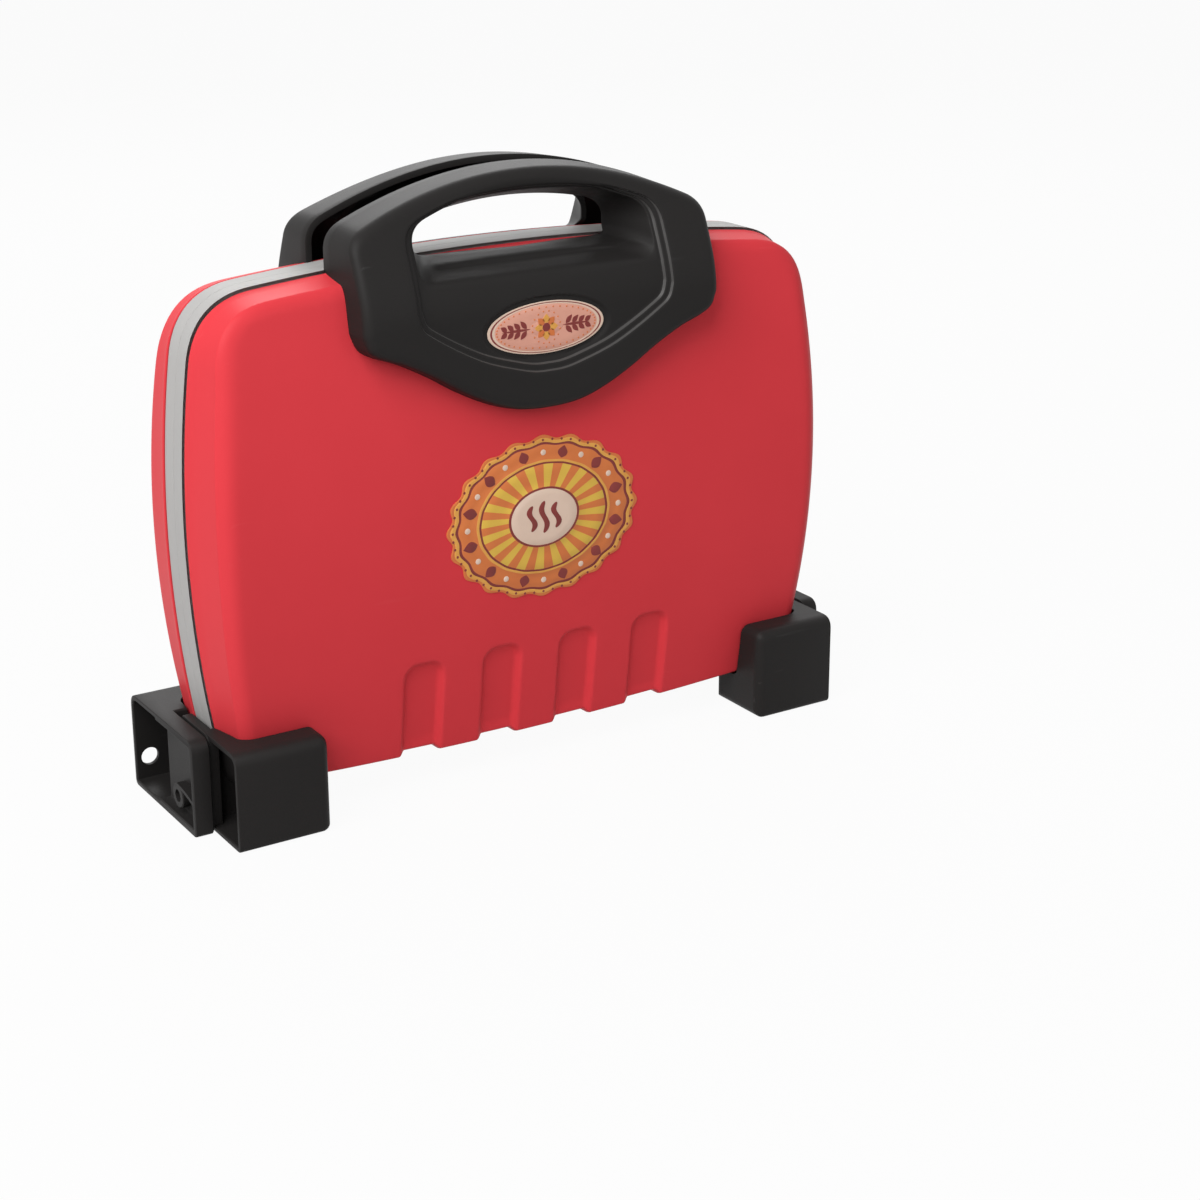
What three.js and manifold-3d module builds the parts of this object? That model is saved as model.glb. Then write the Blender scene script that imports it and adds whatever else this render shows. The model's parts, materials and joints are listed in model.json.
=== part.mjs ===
// Toy toaster: a case of two moulded halves that are hinged at the feet, with twin carrying handles.
//
// Frame: X to the right, Y away from the front, Z up, millimetres, closed and standing on its feet.
// The origin is the middle of the footprint, on the surface that the feet stand on.
// The parting plane is Y = 0. Each half is built with its depth along +Y, and the front half is
// the same construction turned half a turn about Z.

import * as THREE from 'three';
import { mergeVertices } from 'three/addons/utils/BufferGeometryUtils.js';
import Module from 'manifold-3d';

const wasm = await Module();
wasm.setup();

// Driving dimensions

const gap = 0.3; // between neighbouring mouldings
const overrun = 6; // how far a cutter runs past the material
const wall = 2; // wall of every moulding

// The grey rim that shows between the halves.
const rim = {
  bottom: 15,
  top: 198,
  half: 131, // half width at its widest
  wideRise: 103, // from the bottom up to the widest place
  footHalf: 122.3, // half width at the bottom
  shoulderHalf: 124, // where the side and the top would meet
  shoulderDrop: 3.6, // from the top down to the shoulders
  bottomCut: 6, // how far the rounding runs from the corner
  topCut: 26,
};

// The flat of a shell's face lies inside the rounding that leads to the side walls.
const face = {
  depth: 29, // from the parting plane to the crown, at the middle of the case's height
  edgeDepth: 20.4, // depth at the bottom and the top of the case
  bottomInset: 2.6, // insets from the rim
  topInset: 6.6,
  sideInset: 10.6,
  footInset: 5.3,
  shoulderInset: 6,
  shoulderDrop: 7.6,
  wideInset: 10,
  bottomCut: 5,
  topCut: 22,
};

const shell = {
  proud: 0.4, // how far the red shell stands outside the rim
  rimDepth: 7.6, // from the parting plane to the shell's edge
  bossRadius: 3.2,
  padRadius: 4,
  padHeight: 0.6,
};

// The flutes in the lower part of the face, which run on under the bottom edge.
const flute = {
  pitch: 33,
  half: 8.3,
  height: 36.8, // from the rim's bottom up
  topCut: 6,
  depth: 2.3,
  underDepth: 13, // from the parting plane to where a flute ends under the case
};

const tray = {
  seam: 0.15, // from the parting plane to the rim's face
  skirtDepth: 7.3,
  skirtWall: 4,
  lipDepth: 10.3,
  lipInset: 2.3,
  basinInset: 8,
  basinDepth: 16,
  ridgePitch: 10.4,
  ridgeHeight: 2,
  ridgeFoot: 5,
  ridgeTop: 2.4,
  ridgeEnd: 6, // from the basin's wall to the end of a ridge
  landRadius: 5.6, // clear ground round a screw head
};

// The handle's heights are taken from the top of the case.
const handle = {
  rearDepth: 6.9,
  baseDepth: 37, // front of the handle where it lies on the shell
  gripDepth: 22, // front of the grip at its top
  leanHeight: 50, // over which the front leans back
  rise: 30,
  hang: 56.5,
  kneeDrop: 23, // where the lower edge turns into the side
  half: 74.3,
  archDrop: 18.4, // how far the arch has fallen at the half width
  shoulderCut: 6.6,
  draft: 0.7,
  edgeRadius: 3.2,
  wall: 2.4,
  bossRadius: 3.6,
  ribThickness: 1.4,
  ribSetback: 3,
  ribPitch: 30,
};

// The recessed field round the finger gap and the label, inside the handle's outline.
const field = {
  sideInset: 22.3,
  bottomInset: 15,
  topInset: 5.5,
  kneeRise: 5.5, // above the handle's own knee
  archDrop: 11.5,
  shoulderCut: 6,
  stepDepth: 1.5, // depth of the first step
  depth: 3, // depth of the field
  stepWidth: 2.6, // width of the ledge between the two steps
};

const fingerGap = {
  frontInset: 25.1, // from the handle's side, at the front
  rearInset: 34.3,
  frontDrop: 8.8, // from the top of the arch, at the front
  rearDrop: 12.2,
  sillFrontDrop: 7, // from the top of the case down to the sill's front edge
  sillRearRise: 1.4,
  sillRearDepth: 15,
  archDrop: 5.5,
  lowCut: 4,
  highCut: 9,
};

const label = {
  half: 24.5,
  halfHeight: 9.6,
  rise: 30.1, // above the handle's lower edge
  thickness: 0.5,
  recess: 1,
  margin: 2,
};

const badge = {
  half: 41.2,
  halfHeight: 30.6,
  belowCrown: 8.2, // from the crown of the face down to the middle
  thickness: 0.5,
};

const foot = {
  height: 36.7,
  depth: 38.6, // from the parting plane to the outer face
  innerX: 94,
  frontOuterX: 130,
  backOuterX: 138,
  frontNearDepth: 9, // where the front foot ends under the case
  backNearDepth: 13, // where the back foot ends under the case
  topRadius: 5.5,
  bottomRadius: 2.4,
  nearRadius: 1,
  sideRadius: 3.6,
  bossRadius: 3.6,
};

const hinge = {
  z: 9.5,
  pinRadius: 2.05,
  headRadius: 3,
  headHeight: 1.2,
  cheekThickness: 4,
  cheekProud: 0.4, // how far the cheek stands out past the front foot's open end
  cheekReach: 8, // how far the cheek passes the parting plane
  cheekRoot: 7, // how far the cheek runs into the front foot
  armPlay: 0.8, // between the cheek and the arm
  armReach: 18.8, // how far the arm passes the parting plane
  armRadius: 5,
  armWall: 2.8,
  webThickness: 2.3,
  ringRadius: 4.75,
  ringSetback: 1.2, // from the arm's outer face to the face of the ring
  ribThickness: 1.4,
  ribRise: 1, // from the axis up to the rib's front end
  rearHoleInset: 5.5, // from the arm's outer face to the middle of the hole
  rearHoleRise: 1.1, // above the axis
  rearHoleRadius: 3.4,
};

const screw = {
  shankRadius: 1.35,
  headRadius: 2.9,
  headHeight: 1.8,
  trayLength: 8.6,
  handleLength: 11,
  footLength: 11,
  trayInsetX: 31, // from the rim to the screws, at the sides
  trayRise: 45, // from the rim's bottom
  trayDrop: 48, // from the rim's top
  handleInset: 11.3, // from the handle's side
  handleRise: 3, // above the handle's knee
  footInset: 11, // from the foot's inner end
  footRise: 12.5, // above the rim's bottom
};

const fluteCount = 4;
const handleRibCount = 3;

// Steps along the curves
const sideSteps = 6;
const uprightSteps = 3;
const cornerSteps = 3;
const topSteps = 3;
const roundSteps = 3;
const circleSteps = 12;
const screwSteps = 8;
const archEndShare = 0.1; // of a step, from the last point of an arch to its middle

// Materials

const red = new THREE.MeshStandardMaterial({ color: 0xd8323f, roughness: 0.42, metalness: 0 });
const grey = new THREE.MeshStandardMaterial({ color: 0xc6c9c5, roughness: 0.5, metalness: 0 });
const black = new THREE.MeshStandardMaterial({ color: 0x2b2929, roughness: 0.5, metalness: 0 });
const steel = new THREE.MeshStandardMaterial({ color: 0x9a9b9c, roughness: 0.35, metalness: 1 });
const printed = new THREE.MeshStandardMaterial({ color: 0xe59a3c, roughness: 0.45, metalness: 0 });
const paper = new THREE.MeshStandardMaterial({ color: 0xecc0ae, roughness: 0.45, metalness: 0 });

// Solids: closed meshes that are joined and cut

function toSolid(geometry) {
  const bare = geometry.clone();
  bare.deleteAttribute('normal');
  bare.deleteAttribute('uv');
  const merged = mergeVertices(bare);
  const points = merged.attributes.position.array;
  const index = [...merged.index.array];
  return new wasm.Manifold(new wasm.Mesh({
    numProp: 3,
    vertProperties: new Float32Array(points),
    triVerts: new Uint32Array(signedVolume(points, index) < 0 ? flipped(index) : index),
  }));
}

function signedVolume(points, index) {
  const point = (i) => new THREE.Vector3().fromArray(points, i * 3);
  let sum = 0;
  for (let i = 0; i < index.length; i += 3) {
    const [a, b, c] = [point(index[i]), point(index[i + 1]), point(index[i + 2])];
    sum += a.dot(b.cross(c));
  }
  return sum;
}

function flipped(index) {
  const turned = [];
  for (let i = 0; i < index.length; i += 3) {
    turned.push(index[i + 1], index[i], index[i + 2]);
  }
  return turned;
}

function toGeometry(solid) {
  const mesh = solid.getMesh();
  const geometry = new THREE.BufferGeometry();
  geometry.setAttribute('position', new THREE.BufferAttribute(mesh.vertProperties, 3));
  geometry.setIndex(new THREE.BufferAttribute(mesh.triVerts, 1));
  geometry.computeVertexNormals();
  return geometry;
}

function join(solids) {
  return solids.reduce((sum, solid) => sum.add(solid));
}

function cut(solid, cutters) {
  return cutters.reduce((rest, cutter) => rest.subtract(cutter), solid);
}

// The same shape on the other side of the middle plane.
function mirrored(geometry) {
  const copy = geometry.clone().scale(-1, 1, 1);
  copy.setIndex(flipped([...copy.index.array]));
  copy.computeVertexNormals();
  return copy;
}

// Outlines: the right half of a symmetric outline, from its bottom to its top, as [x, z] points

function mix(a, b, share) {
  return a + (b - a) * share;
}

function smooth(share) {
  const t = Math.min(Math.max(share, 0), 1);
  return t * t * (3 - 2 * t);
}

function bend(start, corner, end, steps) {
  const curve = new THREE.QuadraticBezierCurve(
    new THREE.Vector2(...start), new THREE.Vector2(...corner), new THREE.Vector2(...end));
  return curve.getPoints(steps).map((p) => [p.x, p.y]);
}

function archPoints(half, height) {
  const points = [];
  for (let i = 1; i <= topSteps; i += 1) {
    const x = half * (1 - i / (topSteps + archEndShare));
    points.push([x, height(x)]);
  }
  return points;
}

// The outline of the case, for the rim and for the flat of a shell's face.
function caseOutline(c) {
  const shoulderZ = c.top - c.shoulderDrop;
  const side = (z) => {
    const low = (c.half - c.footHalf) * ((c.wideZ - z) / (c.wideZ - c.bottom)) ** 2;
    const high = (c.half - c.shoulderHalf) * ((z - c.wideZ) / (shoulderZ - c.wideZ)) ** 2;
    return c.half - (z < c.wideZ ? low : high);
  };
  const crown = (x) => c.top - c.shoulderDrop * (x / c.shoulderHalf) ** 2;
  const sideStart = c.bottom + c.bottomCut;
  const sideEnd = shoulderZ - c.topCut;
  const topStart = c.shoulderHalf - c.topCut;
  const points = bend([c.footHalf - c.bottomCut, c.bottom], [c.footHalf, c.bottom],
    [side(sideStart), sideStart], 2);
  for (let i = 1; i < sideSteps; i += 1) {
    const z = mix(sideStart, sideEnd, i / sideSteps);
    points.push([side(z), z]);
  }
  points.push(...bend([side(sideEnd), sideEnd], [c.shoulderHalf, shoulderZ],
    [topStart, crown(topStart)], cornerSteps + 1));
  points.push(...archPoints(topStart, crown));
  return points;
}

// An outline with a shaped lower edge, upright sides and an arched top.
function archedOutline(a, lowerShares) {
  const arch = (x) => a.top - a.archDrop * (x / a.half) ** 2;
  const points = lowerShares.map(([xShare, zShare]) => [
    a.half * xShare, mix(a.bottom, a.kneeZ, zShare)]);
  const corner = [a.half, arch(a.half)];
  const sideEnd = [a.half, corner[1] - a.shoulderCut];
  const topStart = a.half - a.shoulderCut;
  for (let i = 1; i < uprightSteps; i += 1) {
    points.push([a.half, mix(a.kneeZ, sideEnd[1], i / uprightSteps)]);
  }
  points.push(...bend(sideEnd, corner, [topStart, arch(topStart)], cornerSteps));
  points.push(...archPoints(topStart, arch));
  return points;
}

const handleLowerShares = [
  [0.07, 0], [0.2, 0.04], [0.34, 0.15], [0.49, 0.32], [0.63, 0.51],
  [0.78, 0.68], [0.9, 0.78], [0.963, 0.87], [0.992, 1],
];
const fieldLowerShares = [
  [0.1, 0], [0.28, 0.09], [0.5, 0.25], [0.7, 0.47], [0.88, 0.71], [0.962, 0.85], [0.995, 1],
];

function gapOutline(g) {
  const arch = (x) => g.top - fingerGap.archDrop * (x / g.half) ** 2;
  const sideStart = g.bottom + fingerGap.lowCut;
  const sideEnd = arch(g.half) - fingerGap.highCut / 2;
  const topStart = g.half - fingerGap.highCut;
  return [
    ...bend([g.half - fingerGap.lowCut, g.bottom], [g.half, g.bottom], [g.half, sideStart], 3),
    ...bend([g.half, sideEnd], [g.half, arch(g.half)], [topStart, arch(topStart)], cornerSteps),
    ...archPoints(topStart, arch),
  ];
}

// Moves an outline inwards by a distance, or outwards by a negative one.
function inset(half, distance) {
  const ring = closed(half);
  const count = ring.length;
  const moved = ring.map((point, i) => {
    const before = ring[(i + count - 1) % count];
    const after = ring[(i + 1) % count];
    const n1 = edgeNormal(before, point);
    const n2 = edgeNormal(point, after);
    const k = distance / (1 + n1[0] * n2[0] + n1[1] * n2[1]);
    return [point[0] + (n1[0] + n2[0]) * k, point[1] + (n1[1] + n2[1]) * k];
  });
  return moved.slice(0, half.length);
}

function closed(half) {
  const left = half.map(([x, z]) => [-x, z]).reverse();
  return [...half, ...left];
}

function edgeNormal(a, b) {
  const length = Math.hypot(b[0] - a[0], b[1] - a[1]);
  return [-(b[1] - a[1]) / length, (b[0] - a[0]) / length];
}

// Lofts: a skin over rings of equal counts, closed at both ends by level strips

function loft(rings, x = 0) {
  const count = rings[0].length;
  const positions = rings.flat(2);
  const index = [];
  for (let r = 0; r + 1 < rings.length; r += 1) {
    for (let i = 0; i < count; i += 1) {
      const a = r * count + i;
      const b = r * count + (i + 1) % count;
      index.push(a, b, b + count, a, b + count, a + count);
    }
  }
  const last = (rings.length - 1) * count;
  for (let i = 0; i + 1 < count / 2; i += 1) {
    const [a, b, c, d] = [i, i + 1, count - 2 - i, count - 1 - i];
    index.push(a, d, c, a, c, b);
    index.push(last + a, last + b, last + c, last + a, last + c, last + d);
  }
  const geometry = new THREE.BufferGeometry();
  geometry.setAttribute('position', new THREE.Float32BufferAttribute(positions, 3));
  geometry.setIndex(index);
  return toSolid(geometry.translate(x, 0, 0));
}

// A ring of an outline at a depth, which is a number or a function of the height.
function ring(half, depth) {
  return closed(half).map(([x, z]) => [x, typeof depth === 'number' ? depth : depth(z), z]);
}

// Primitive solids

function block(low, high) {
  const size = high.map((value, i) => value - low[i]);
  const geometry = new THREE.BoxGeometry(...size);
  geometry.translate(...low.map((value, i) => value + size[i] / 2));
  return toSolid(geometry);
}

// A round bar along Y, from one depth to another.
function barY(radius, x, z, from, to) {
  const geometry = new THREE.CylinderGeometry(radius, radius, to - from, circleSteps);
  geometry.translate(0, (from + to) / 2, 0);
  geometry.translate(x, 0, z);
  return toSolid(geometry);
}

// A round bar along X.
function barX(radius, y, z, from, to) {
  const geometry = new THREE.CylinderGeometry(radius, radius, to - from, circleSteps);
  geometry.rotateZ(Math.PI / 2);
  geometry.translate((from + to) / 2, y, z);
  return toSolid(geometry);
}

// Shell

const rimHalf = caseOutline({ ...rim, wideZ: rim.bottom + rim.wideRise });
const shellHalf = inset(rimHalf, -shell.proud);
const faceHalf = caseOutline({
  bottom: rim.bottom + face.bottomInset,
  top: rim.top - face.topInset,
  half: rim.half - face.sideInset,
  wideZ: rim.bottom + rim.wideRise - face.wideInset,
  footHalf: rim.footHalf - face.footInset,
  shoulderHalf: rim.shoulderHalf - face.shoulderInset,
  shoulderDrop: rim.shoulderDrop + face.shoulderDrop - face.topInset,
  bottomCut: face.bottomCut,
  topCut: face.topCut,
});
const crownZ = (rim.bottom + rim.top) / 2;
const shellHole = screw.shankRadius + gap;

function faceDepth(z) {
  const share = (z - crownZ) / (rim.top - crownZ);
  return face.depth - (face.depth - face.edgeDepth) * share ** 2;
}

// The skin of the shell from its edge to its face, moved outwards by a distance.
const edgeShare = 0.08; // of the way in to the face, where the rounding starts
const sideShare = 0.6; // of the depth, where the rounding starts

function shellSkin(out, from) {
  const start = inset(shellHalf, -out);
  const end = inset(faceHalf, -out / 2);
  const rings = [ring(start, from)];
  if (from < shell.rimDepth) rings.push(ring(start, shell.rimDepth));
  for (let i = 0; i <= roundSteps; i += 1) {
    const angle = (i / roundSteps) * (Math.PI / 2);
    const inShare = edgeShare + (1 - edgeShare) * (1 - Math.cos(angle));
    const deepShare = sideShare + (1 - sideShare) * Math.sin(angle);
    const half = start.map(([x, z], k) => [mix(x, end[k][0], inShare), mix(z, end[k][1], inShare)]);
    rings.push(ring(half, (z) => mix(shell.rimDepth, faceDepth(z) + out, deepShare)));
  }
  return loft(rings);
}

// The room of one flute, or, with a distance, the backing that follows it inside the shell.
function fluteRoom(x, out) {
  const top = rim.bottom + flute.height;
  const outline = inset([
    [flute.half, rim.bottom - overrun],
    ...bend([flute.half, top - flute.topCut], [flute.half, top],
      [flute.half - flute.topCut, top], cornerSteps),
  ], -out);
  const column = loft([
    ring(outline, flute.underDepth - out),
    ring(outline, (z) => faceDepth(z) + overrun),
  ], x);
  return cut(column, [shellSkin(-flute.depth - out, -overrun)]);
}

function flutes(out) {
  const rooms = [];
  for (let i = 0; i < fluteCount; i += 1) {
    rooms.push(fluteRoom((i - (fluteCount - 1) / 2) * flute.pitch, out));
  }
  return rooms;
}

const handleKneeZ = rim.top - handle.kneeDrop;
const trayScrewPlaces = [-1, 1].flatMap((side) => [
  [side * (rim.half - screw.trayInsetX), rim.bottom + screw.trayRise],
  [side * (rim.half - screw.trayInsetX), rim.top - screw.trayDrop],
]);
const handleScrewPlaces = [-1, 1].map((side) => [
  side * (handle.half - screw.handleInset), handleKneeZ + screw.handleRise]);
const footScrewPlaces = [-1, 1].map((side) => [
  side * (foot.innerX + screw.footInset), rim.bottom + screw.footRise]);
const outerScrewPlaces = [...handleScrewPlaces, ...footScrewPlaces];
const bossDepth = tray.basinDepth + gap; // where a shell boss meets the tray's floor

function padDepth(z) {
  return faceDepth(z) - wall - shell.padHeight;
}

function makeShell() {
  const hollow = cut(shellSkin(-wall, shell.rimDepth - overrun), [
    ...flutes(wall),
    ...trayScrewPlaces.map(([x, z]) => barY(shell.bossRadius, x, z, bossDepth, faceDepth(z))),
    ...outerScrewPlaces.map(([x, z]) => barY(shell.padRadius, x, z, padDepth(z), faceDepth(z))),
  ]);
  const holes = [
    ...trayScrewPlaces.map(([x, z]) => barY(shellHole, x, z, tray.basinDepth,
      faceDepth(z) - wall)),
    ...outerScrewPlaces.map(([x, z]) => barY(shellHole, x, z, padDepth(z) - overrun,
      faceDepth(z) + overrun)),
  ];
  return cut(shellSkin(0, shell.rimDepth), [hollow, ...flutes(0), ...holes]);
}

// Tray

const floorDepth = tray.basinDepth - wall;

function ridge(x, low, high) {
  const foot = tray.ridgeFoot / 2;
  const top = tray.ridgeTop / 2;
  const root = floorDepth + wall / 2;
  const section = new THREE.Shape();
  section.moveTo(-foot, root);
  section.lineTo(foot, root);
  section.lineTo(top, floorDepth - tray.ridgeHeight);
  section.lineTo(-top, floorDepth - tray.ridgeHeight);
  section.closePath();
  const geometry = new THREE.ExtrudeGeometry(section, { depth: high - low, bevelEnabled: false });
  geometry.translate(x, 0, low);
  return toSolid(geometry);
}

// The lowest and highest height of an outline at a distance from the middle.
function spanAt(half, x) {
  const hits = [];
  const points = closed(half);
  points.forEach(([x1, z1], i) => {
    const [x2, z2] = points[(i + 1) % points.length];
    if ((x1 - x) * (x2 - x) <= 0 && x1 !== x2) hits.push(mix(z1, z2, (x - x1) / (x2 - x1)));
  });
  return [Math.min(...hits), Math.max(...hits)];
}

function ridges(basinHalf) {
  const reach = rim.half - tray.basinInset - wall - tray.ridgeEnd;
  const eachSide = Math.floor(reach / tray.ridgePitch);
  const solids = [];
  for (let i = -eachSide; i <= eachSide; i += 1) {
    const x = i * tray.ridgePitch;
    const [low, high] = spanAt(basinHalf, x);
    solids.push(ridge(x, low + tray.ridgeEnd, high - tray.ridgeEnd));
  }
  const lands = trayScrewPlaces.map(([x, z]) => barY(tray.landRadius, x, z,
    floorDepth - overrun, floorDepth));
  return solids.map((solid) => cut(solid, lands));
}

function makeTray() {
  const outline = (distance) => inset(rimHalf, distance);
  const slab = (distance, from, to) => loft([ring(outline(distance), from),
    ring(outline(distance), to)]);
  const basinHalf = outline(tray.basinInset + wall);
  const frame = cut(join([
    slab(0, tray.seam, tray.skirtDepth),
    slab(tray.lipInset, tray.skirtDepth - wall, tray.lipDepth),
  ]), [slab(tray.skirtWall, tray.seam + wall, tray.lipDepth + overrun)]);
  const basin = slab(tray.basinInset, tray.seam, tray.basinDepth);
  const hollow = slab(tray.basinInset + wall, -overrun, floorDepth);
  const holes = trayScrewPlaces.map(([x, z]) => barY(shellHole, x, z, floorDepth - overrun,
    tray.basinDepth + overrun));
  const body = cut(join([frame, basin]), [hollow]);
  return cut(join([body, ...ridges(basinHalf)]), holes);
}

// Handle

const handleTop = rim.top + handle.rise;
const handleBottom = rim.top - handle.hang;
const handleHalf = archedOutline({
  half: handle.half,
  bottom: handleBottom,
  kneeZ: handleKneeZ,
  top: handleTop,
  archDrop: handle.archDrop,
  shoulderCut: handle.shoulderCut,
}, handleLowerShares);
const fieldHalf = archedOutline({
  half: handle.half - field.sideInset,
  bottom: handleBottom + field.bottomInset,
  kneeZ: handleKneeZ + field.kneeRise,
  top: handleTop - field.topInset,
  archDrop: field.archDrop,
  shoulderCut: field.shoulderCut,
}, fieldLowerShares);

function handleFront(z) {
  const lean = smooth((handleTop - z) / handle.leanHeight);
  return mix(handle.gripDepth, handle.baseDepth, lean);
}

function handleBody() {
  const rings = [ring(handleHalf, handle.rearDepth)];
  for (let i = 0; i <= roundSteps; i += 1) {
    const angle = (i / roundSteps) * (Math.PI / 2);
    const inward = handle.draft + handle.edgeRadius * (1 - Math.cos(angle));
    const back = handle.edgeRadius * (1 - Math.sin(angle));
    rings.push(ring(inset(handleHalf, inward), (z) => handleFront(z) - back));
  }
  return loft(rings);
}

function fieldCutter(distance, depth) {
  const half = inset(fieldHalf, distance);
  return loft([
    ring(half, (z) => handleFront(z) - depth),
    ring(half, (z) => handleFront(z) + overrun),
  ]);
}

// The finger gap: it narrows towards the rear, and its sill climbs over the shell's top edge.
const sillFrontZ = rim.top - fingerGap.sillFrontDrop;

function gapCutter(out) {
  const panelDepth = handle.baseDepth - field.depth;
  const share = (fingerGap.sillRearDepth - handle.rearDepth) / (panelDepth - handle.rearDepth);
  const insetAt = (t) => mix(fingerGap.rearInset, fingerGap.frontInset, t);
  const dropAt = (t) => mix(fingerGap.rearDrop, fingerGap.frontDrop, t);
  const level = (t, bottom) => gapOutline({
    half: handle.half - insetAt(t) + out, bottom: bottom - out, top: handleTop - dropAt(t) + out });
  const front = level(1, sillFrontZ);
  const underSill = rim.top - overrun;
  return loft([
    ring(level(share, rim.top + fingerGap.sillRearRise), fingerGap.sillRearDepth),
    ring(front, (z) => handleFront(z) - field.depth),
    ring(front, (z) => handleFront(z) + overrun),
  ]).add(loft([
    ring(level(0, underSill), handle.rearDepth - overrun),
    ring(level(share, underSill), fingerGap.sillRearDepth),
  ]));
}

function handleRibs() {
  const ribs = [];
  for (let i = 0; i < handleRibCount; i += 1) {
    const x = (i - (handleRibCount - 1) / 2) * handle.ribPitch;
    ribs.push(block(
      [x - handle.ribThickness / 2, handle.rearDepth + handle.ribSetback, sillFrontZ],
      [x + handle.ribThickness / 2, handle.baseDepth, handleTop]));
  }
  return ribs;
}

// The oval of the label, or of its seat, between two depths.
function labelSolid(margin, from, to) {
  const radius = label.half + margin;
  const geometry = new THREE.CylinderGeometry(radius, radius, to - from, circleSteps * 2);
  geometry.scale(1, 1, (label.halfHeight + margin) / radius);
  geometry.translate(0, (from + to) / 2, handleBottom + label.rise);
  return toSolid(geometry);
}

const labelFloor = handle.baseDepth - field.depth - label.recess;

function makeHandle() {
  const inner = inset(handleHalf, handle.wall + handle.draft);
  const cavity = loft([
    ring(inner, handle.rearDepth - overrun),
    ring(inner, (z) => handleFront(z) - handle.wall),
  ]);
  const backing = fieldCutter(-handle.wall, field.depth + handle.wall);
  const bosses = handleScrewPlaces.map(([x, z]) => barY(handle.bossRadius, x, z,
    shell.rimDepth, handle.baseDepth));
  const seat = labelSolid(label.margin + wall, labelFloor - handle.wall, handle.baseDepth);
  const hollow = cut(cavity, [backing, gapCutter(handle.wall), seat, ...bosses, ...handleRibs()]);
  const pilots = handleScrewPlaces.map(([x, z]) => barY(shellHole, x, z, shell.rimDepth,
    padDepth(z) + screw.handleLength + gap));
  return cut(handleBody(), [
    shellSkin(gap, -overrun),
    hollow,
    fieldCutter(0, field.stepDepth),
    fieldCutter(field.stepWidth, field.depth),
    gapCutter(0),
    labelSolid(label.margin, labelFloor, handle.baseDepth + overrun),
    ...pilots,
  ]);
}

// Feet

// A rounded side profile at X, moved inwards by a distance. The profile's near side faces the
// parting plane, and its radii are those of the near low, far low, far high and near high corners.
function profileRing(x, profile, distance) {
  const { near, far, radii } = profile;
  const corners = [[near, 0], [far, 0], [far, foot.height], [near, foot.height]];
  const middle = [(near + far) / 2, foot.height / 2];
  return corners.flatMap(([edgeY, edgeZ], i) => {
    const [signY, signZ] = [Math.sign(middle[0] - edgeY), Math.sign(middle[1] - edgeZ)];
    const y = edgeY + signY * distance;
    const z = edgeZ + signZ * distance;
    const radius = Math.max(radii[i] - distance, foot.nearRadius / 2);
    const along = [y + signY * radius, z];
    const up = [y, z + signZ * radius];
    const [start, end] = signY === signZ ? [up, along] : [along, up];
    return bend(start, [y, z], end, cornerSteps).map(([py, pz]) => [x, py, pz]);
  });
}

function profileBar(profile, distance, from, to) {
  return loft([profileRing(from, profile, distance), profileRing(to, profile, distance)]);
}

// A foot's body: its inner end is rounded and its outer end is open.
function footBody(profile, outerX) {
  const rings = [];
  for (let i = 0; i <= roundSteps; i += 1) {
    const angle = (i / roundSteps) * (Math.PI / 2);
    rings.push(profileRing(foot.innerX + foot.sideRadius * (1 - Math.cos(angle)), profile,
      foot.sideRadius * (1 - Math.sin(angle))));
  }
  rings.push(profileRing(outerX, profile, 0));
  return loft(rings);
}

// The room inside a foot: it leaves the screw boss and a cradle round the corner of the case.
function footHollow(profile, outerX) {
  const [x, z] = footScrewPlaces[1];
  return cut(profileBar(profile, wall, foot.innerX + wall, outerX + overrun), [
    barY(foot.bossRadius, x, z, profile.near, foot.depth),
    shellSkin(wall + gap, -overrun),
  ]);
}

const cheekOuterX = foot.frontOuterX + hinge.cheekProud;
const cheekInnerX = cheekOuterX - hinge.cheekThickness;
const armInnerX = cheekOuterX + hinge.armPlay;
const footRadii = [foot.nearRadius, foot.bottomRadius, foot.topRadius, foot.nearRadius];
const pinHole = hinge.pinRadius + gap;

function footCuts() {
  const [x, z] = footScrewPlaces[1];
  return [
    shellSkin(gap, -overrun),
    barY(shellHole, x, z, shell.rimDepth, padDepth(z) + screw.footLength + gap),
    barX(pinHole, 0, hinge.z, cheekInnerX - overrun, foot.backOuterX + overrun),
  ];
}

// The front foot, whose cheek runs back past the parting plane to the hinge pin.
function makeFrontFoot() {
  const profile = { near: foot.frontNearDepth, far: foot.depth, radii: footRadii };
  const cheekProfile = {
    near: -hinge.cheekReach,
    far: foot.frontNearDepth + hinge.cheekRoot,
    radii: footRadii,
  };
  const body = cut(footBody(profile, foot.frontOuterX), [footHollow(profile, foot.frontOuterX)]);
  const cheek = profileBar(cheekProfile, 0, cheekInnerX, cheekOuterX);
  return cut(join([body, cheek]), footCuts());
}

// The curved rib from the hinge ring to the front edge of the arm.
function armRib(from, to) {
  const top = hinge.z + hinge.ringRadius;
  const frontY = hinge.armWall / 2 - hinge.armReach;
  const frontZ = hinge.z + hinge.ribRise;
  const path = new THREE.Shape();
  path.moveTo(0, top);
  path.quadraticCurveTo(frontY / 2, top, frontY, frontZ);
  path.lineTo(frontY, frontZ - hinge.ribThickness);
  path.quadraticCurveTo(frontY / 2, top - hinge.ribThickness, 0, top - hinge.ribThickness);
  path.closePath();
  const geometry = new THREE.ExtrudeGeometry(path, {
    depth: to - from, bevelEnabled: false, curveSegments: roundSteps });
  geometry.applyMatrix4(new THREE.Matrix4().makeBasis(
    new THREE.Vector3(0, 1, 0), new THREE.Vector3(0, 0, 1), new THREE.Vector3(1, 0, 0)));
  return toSolid(geometry.translate(from, 0, 0));
}

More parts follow.
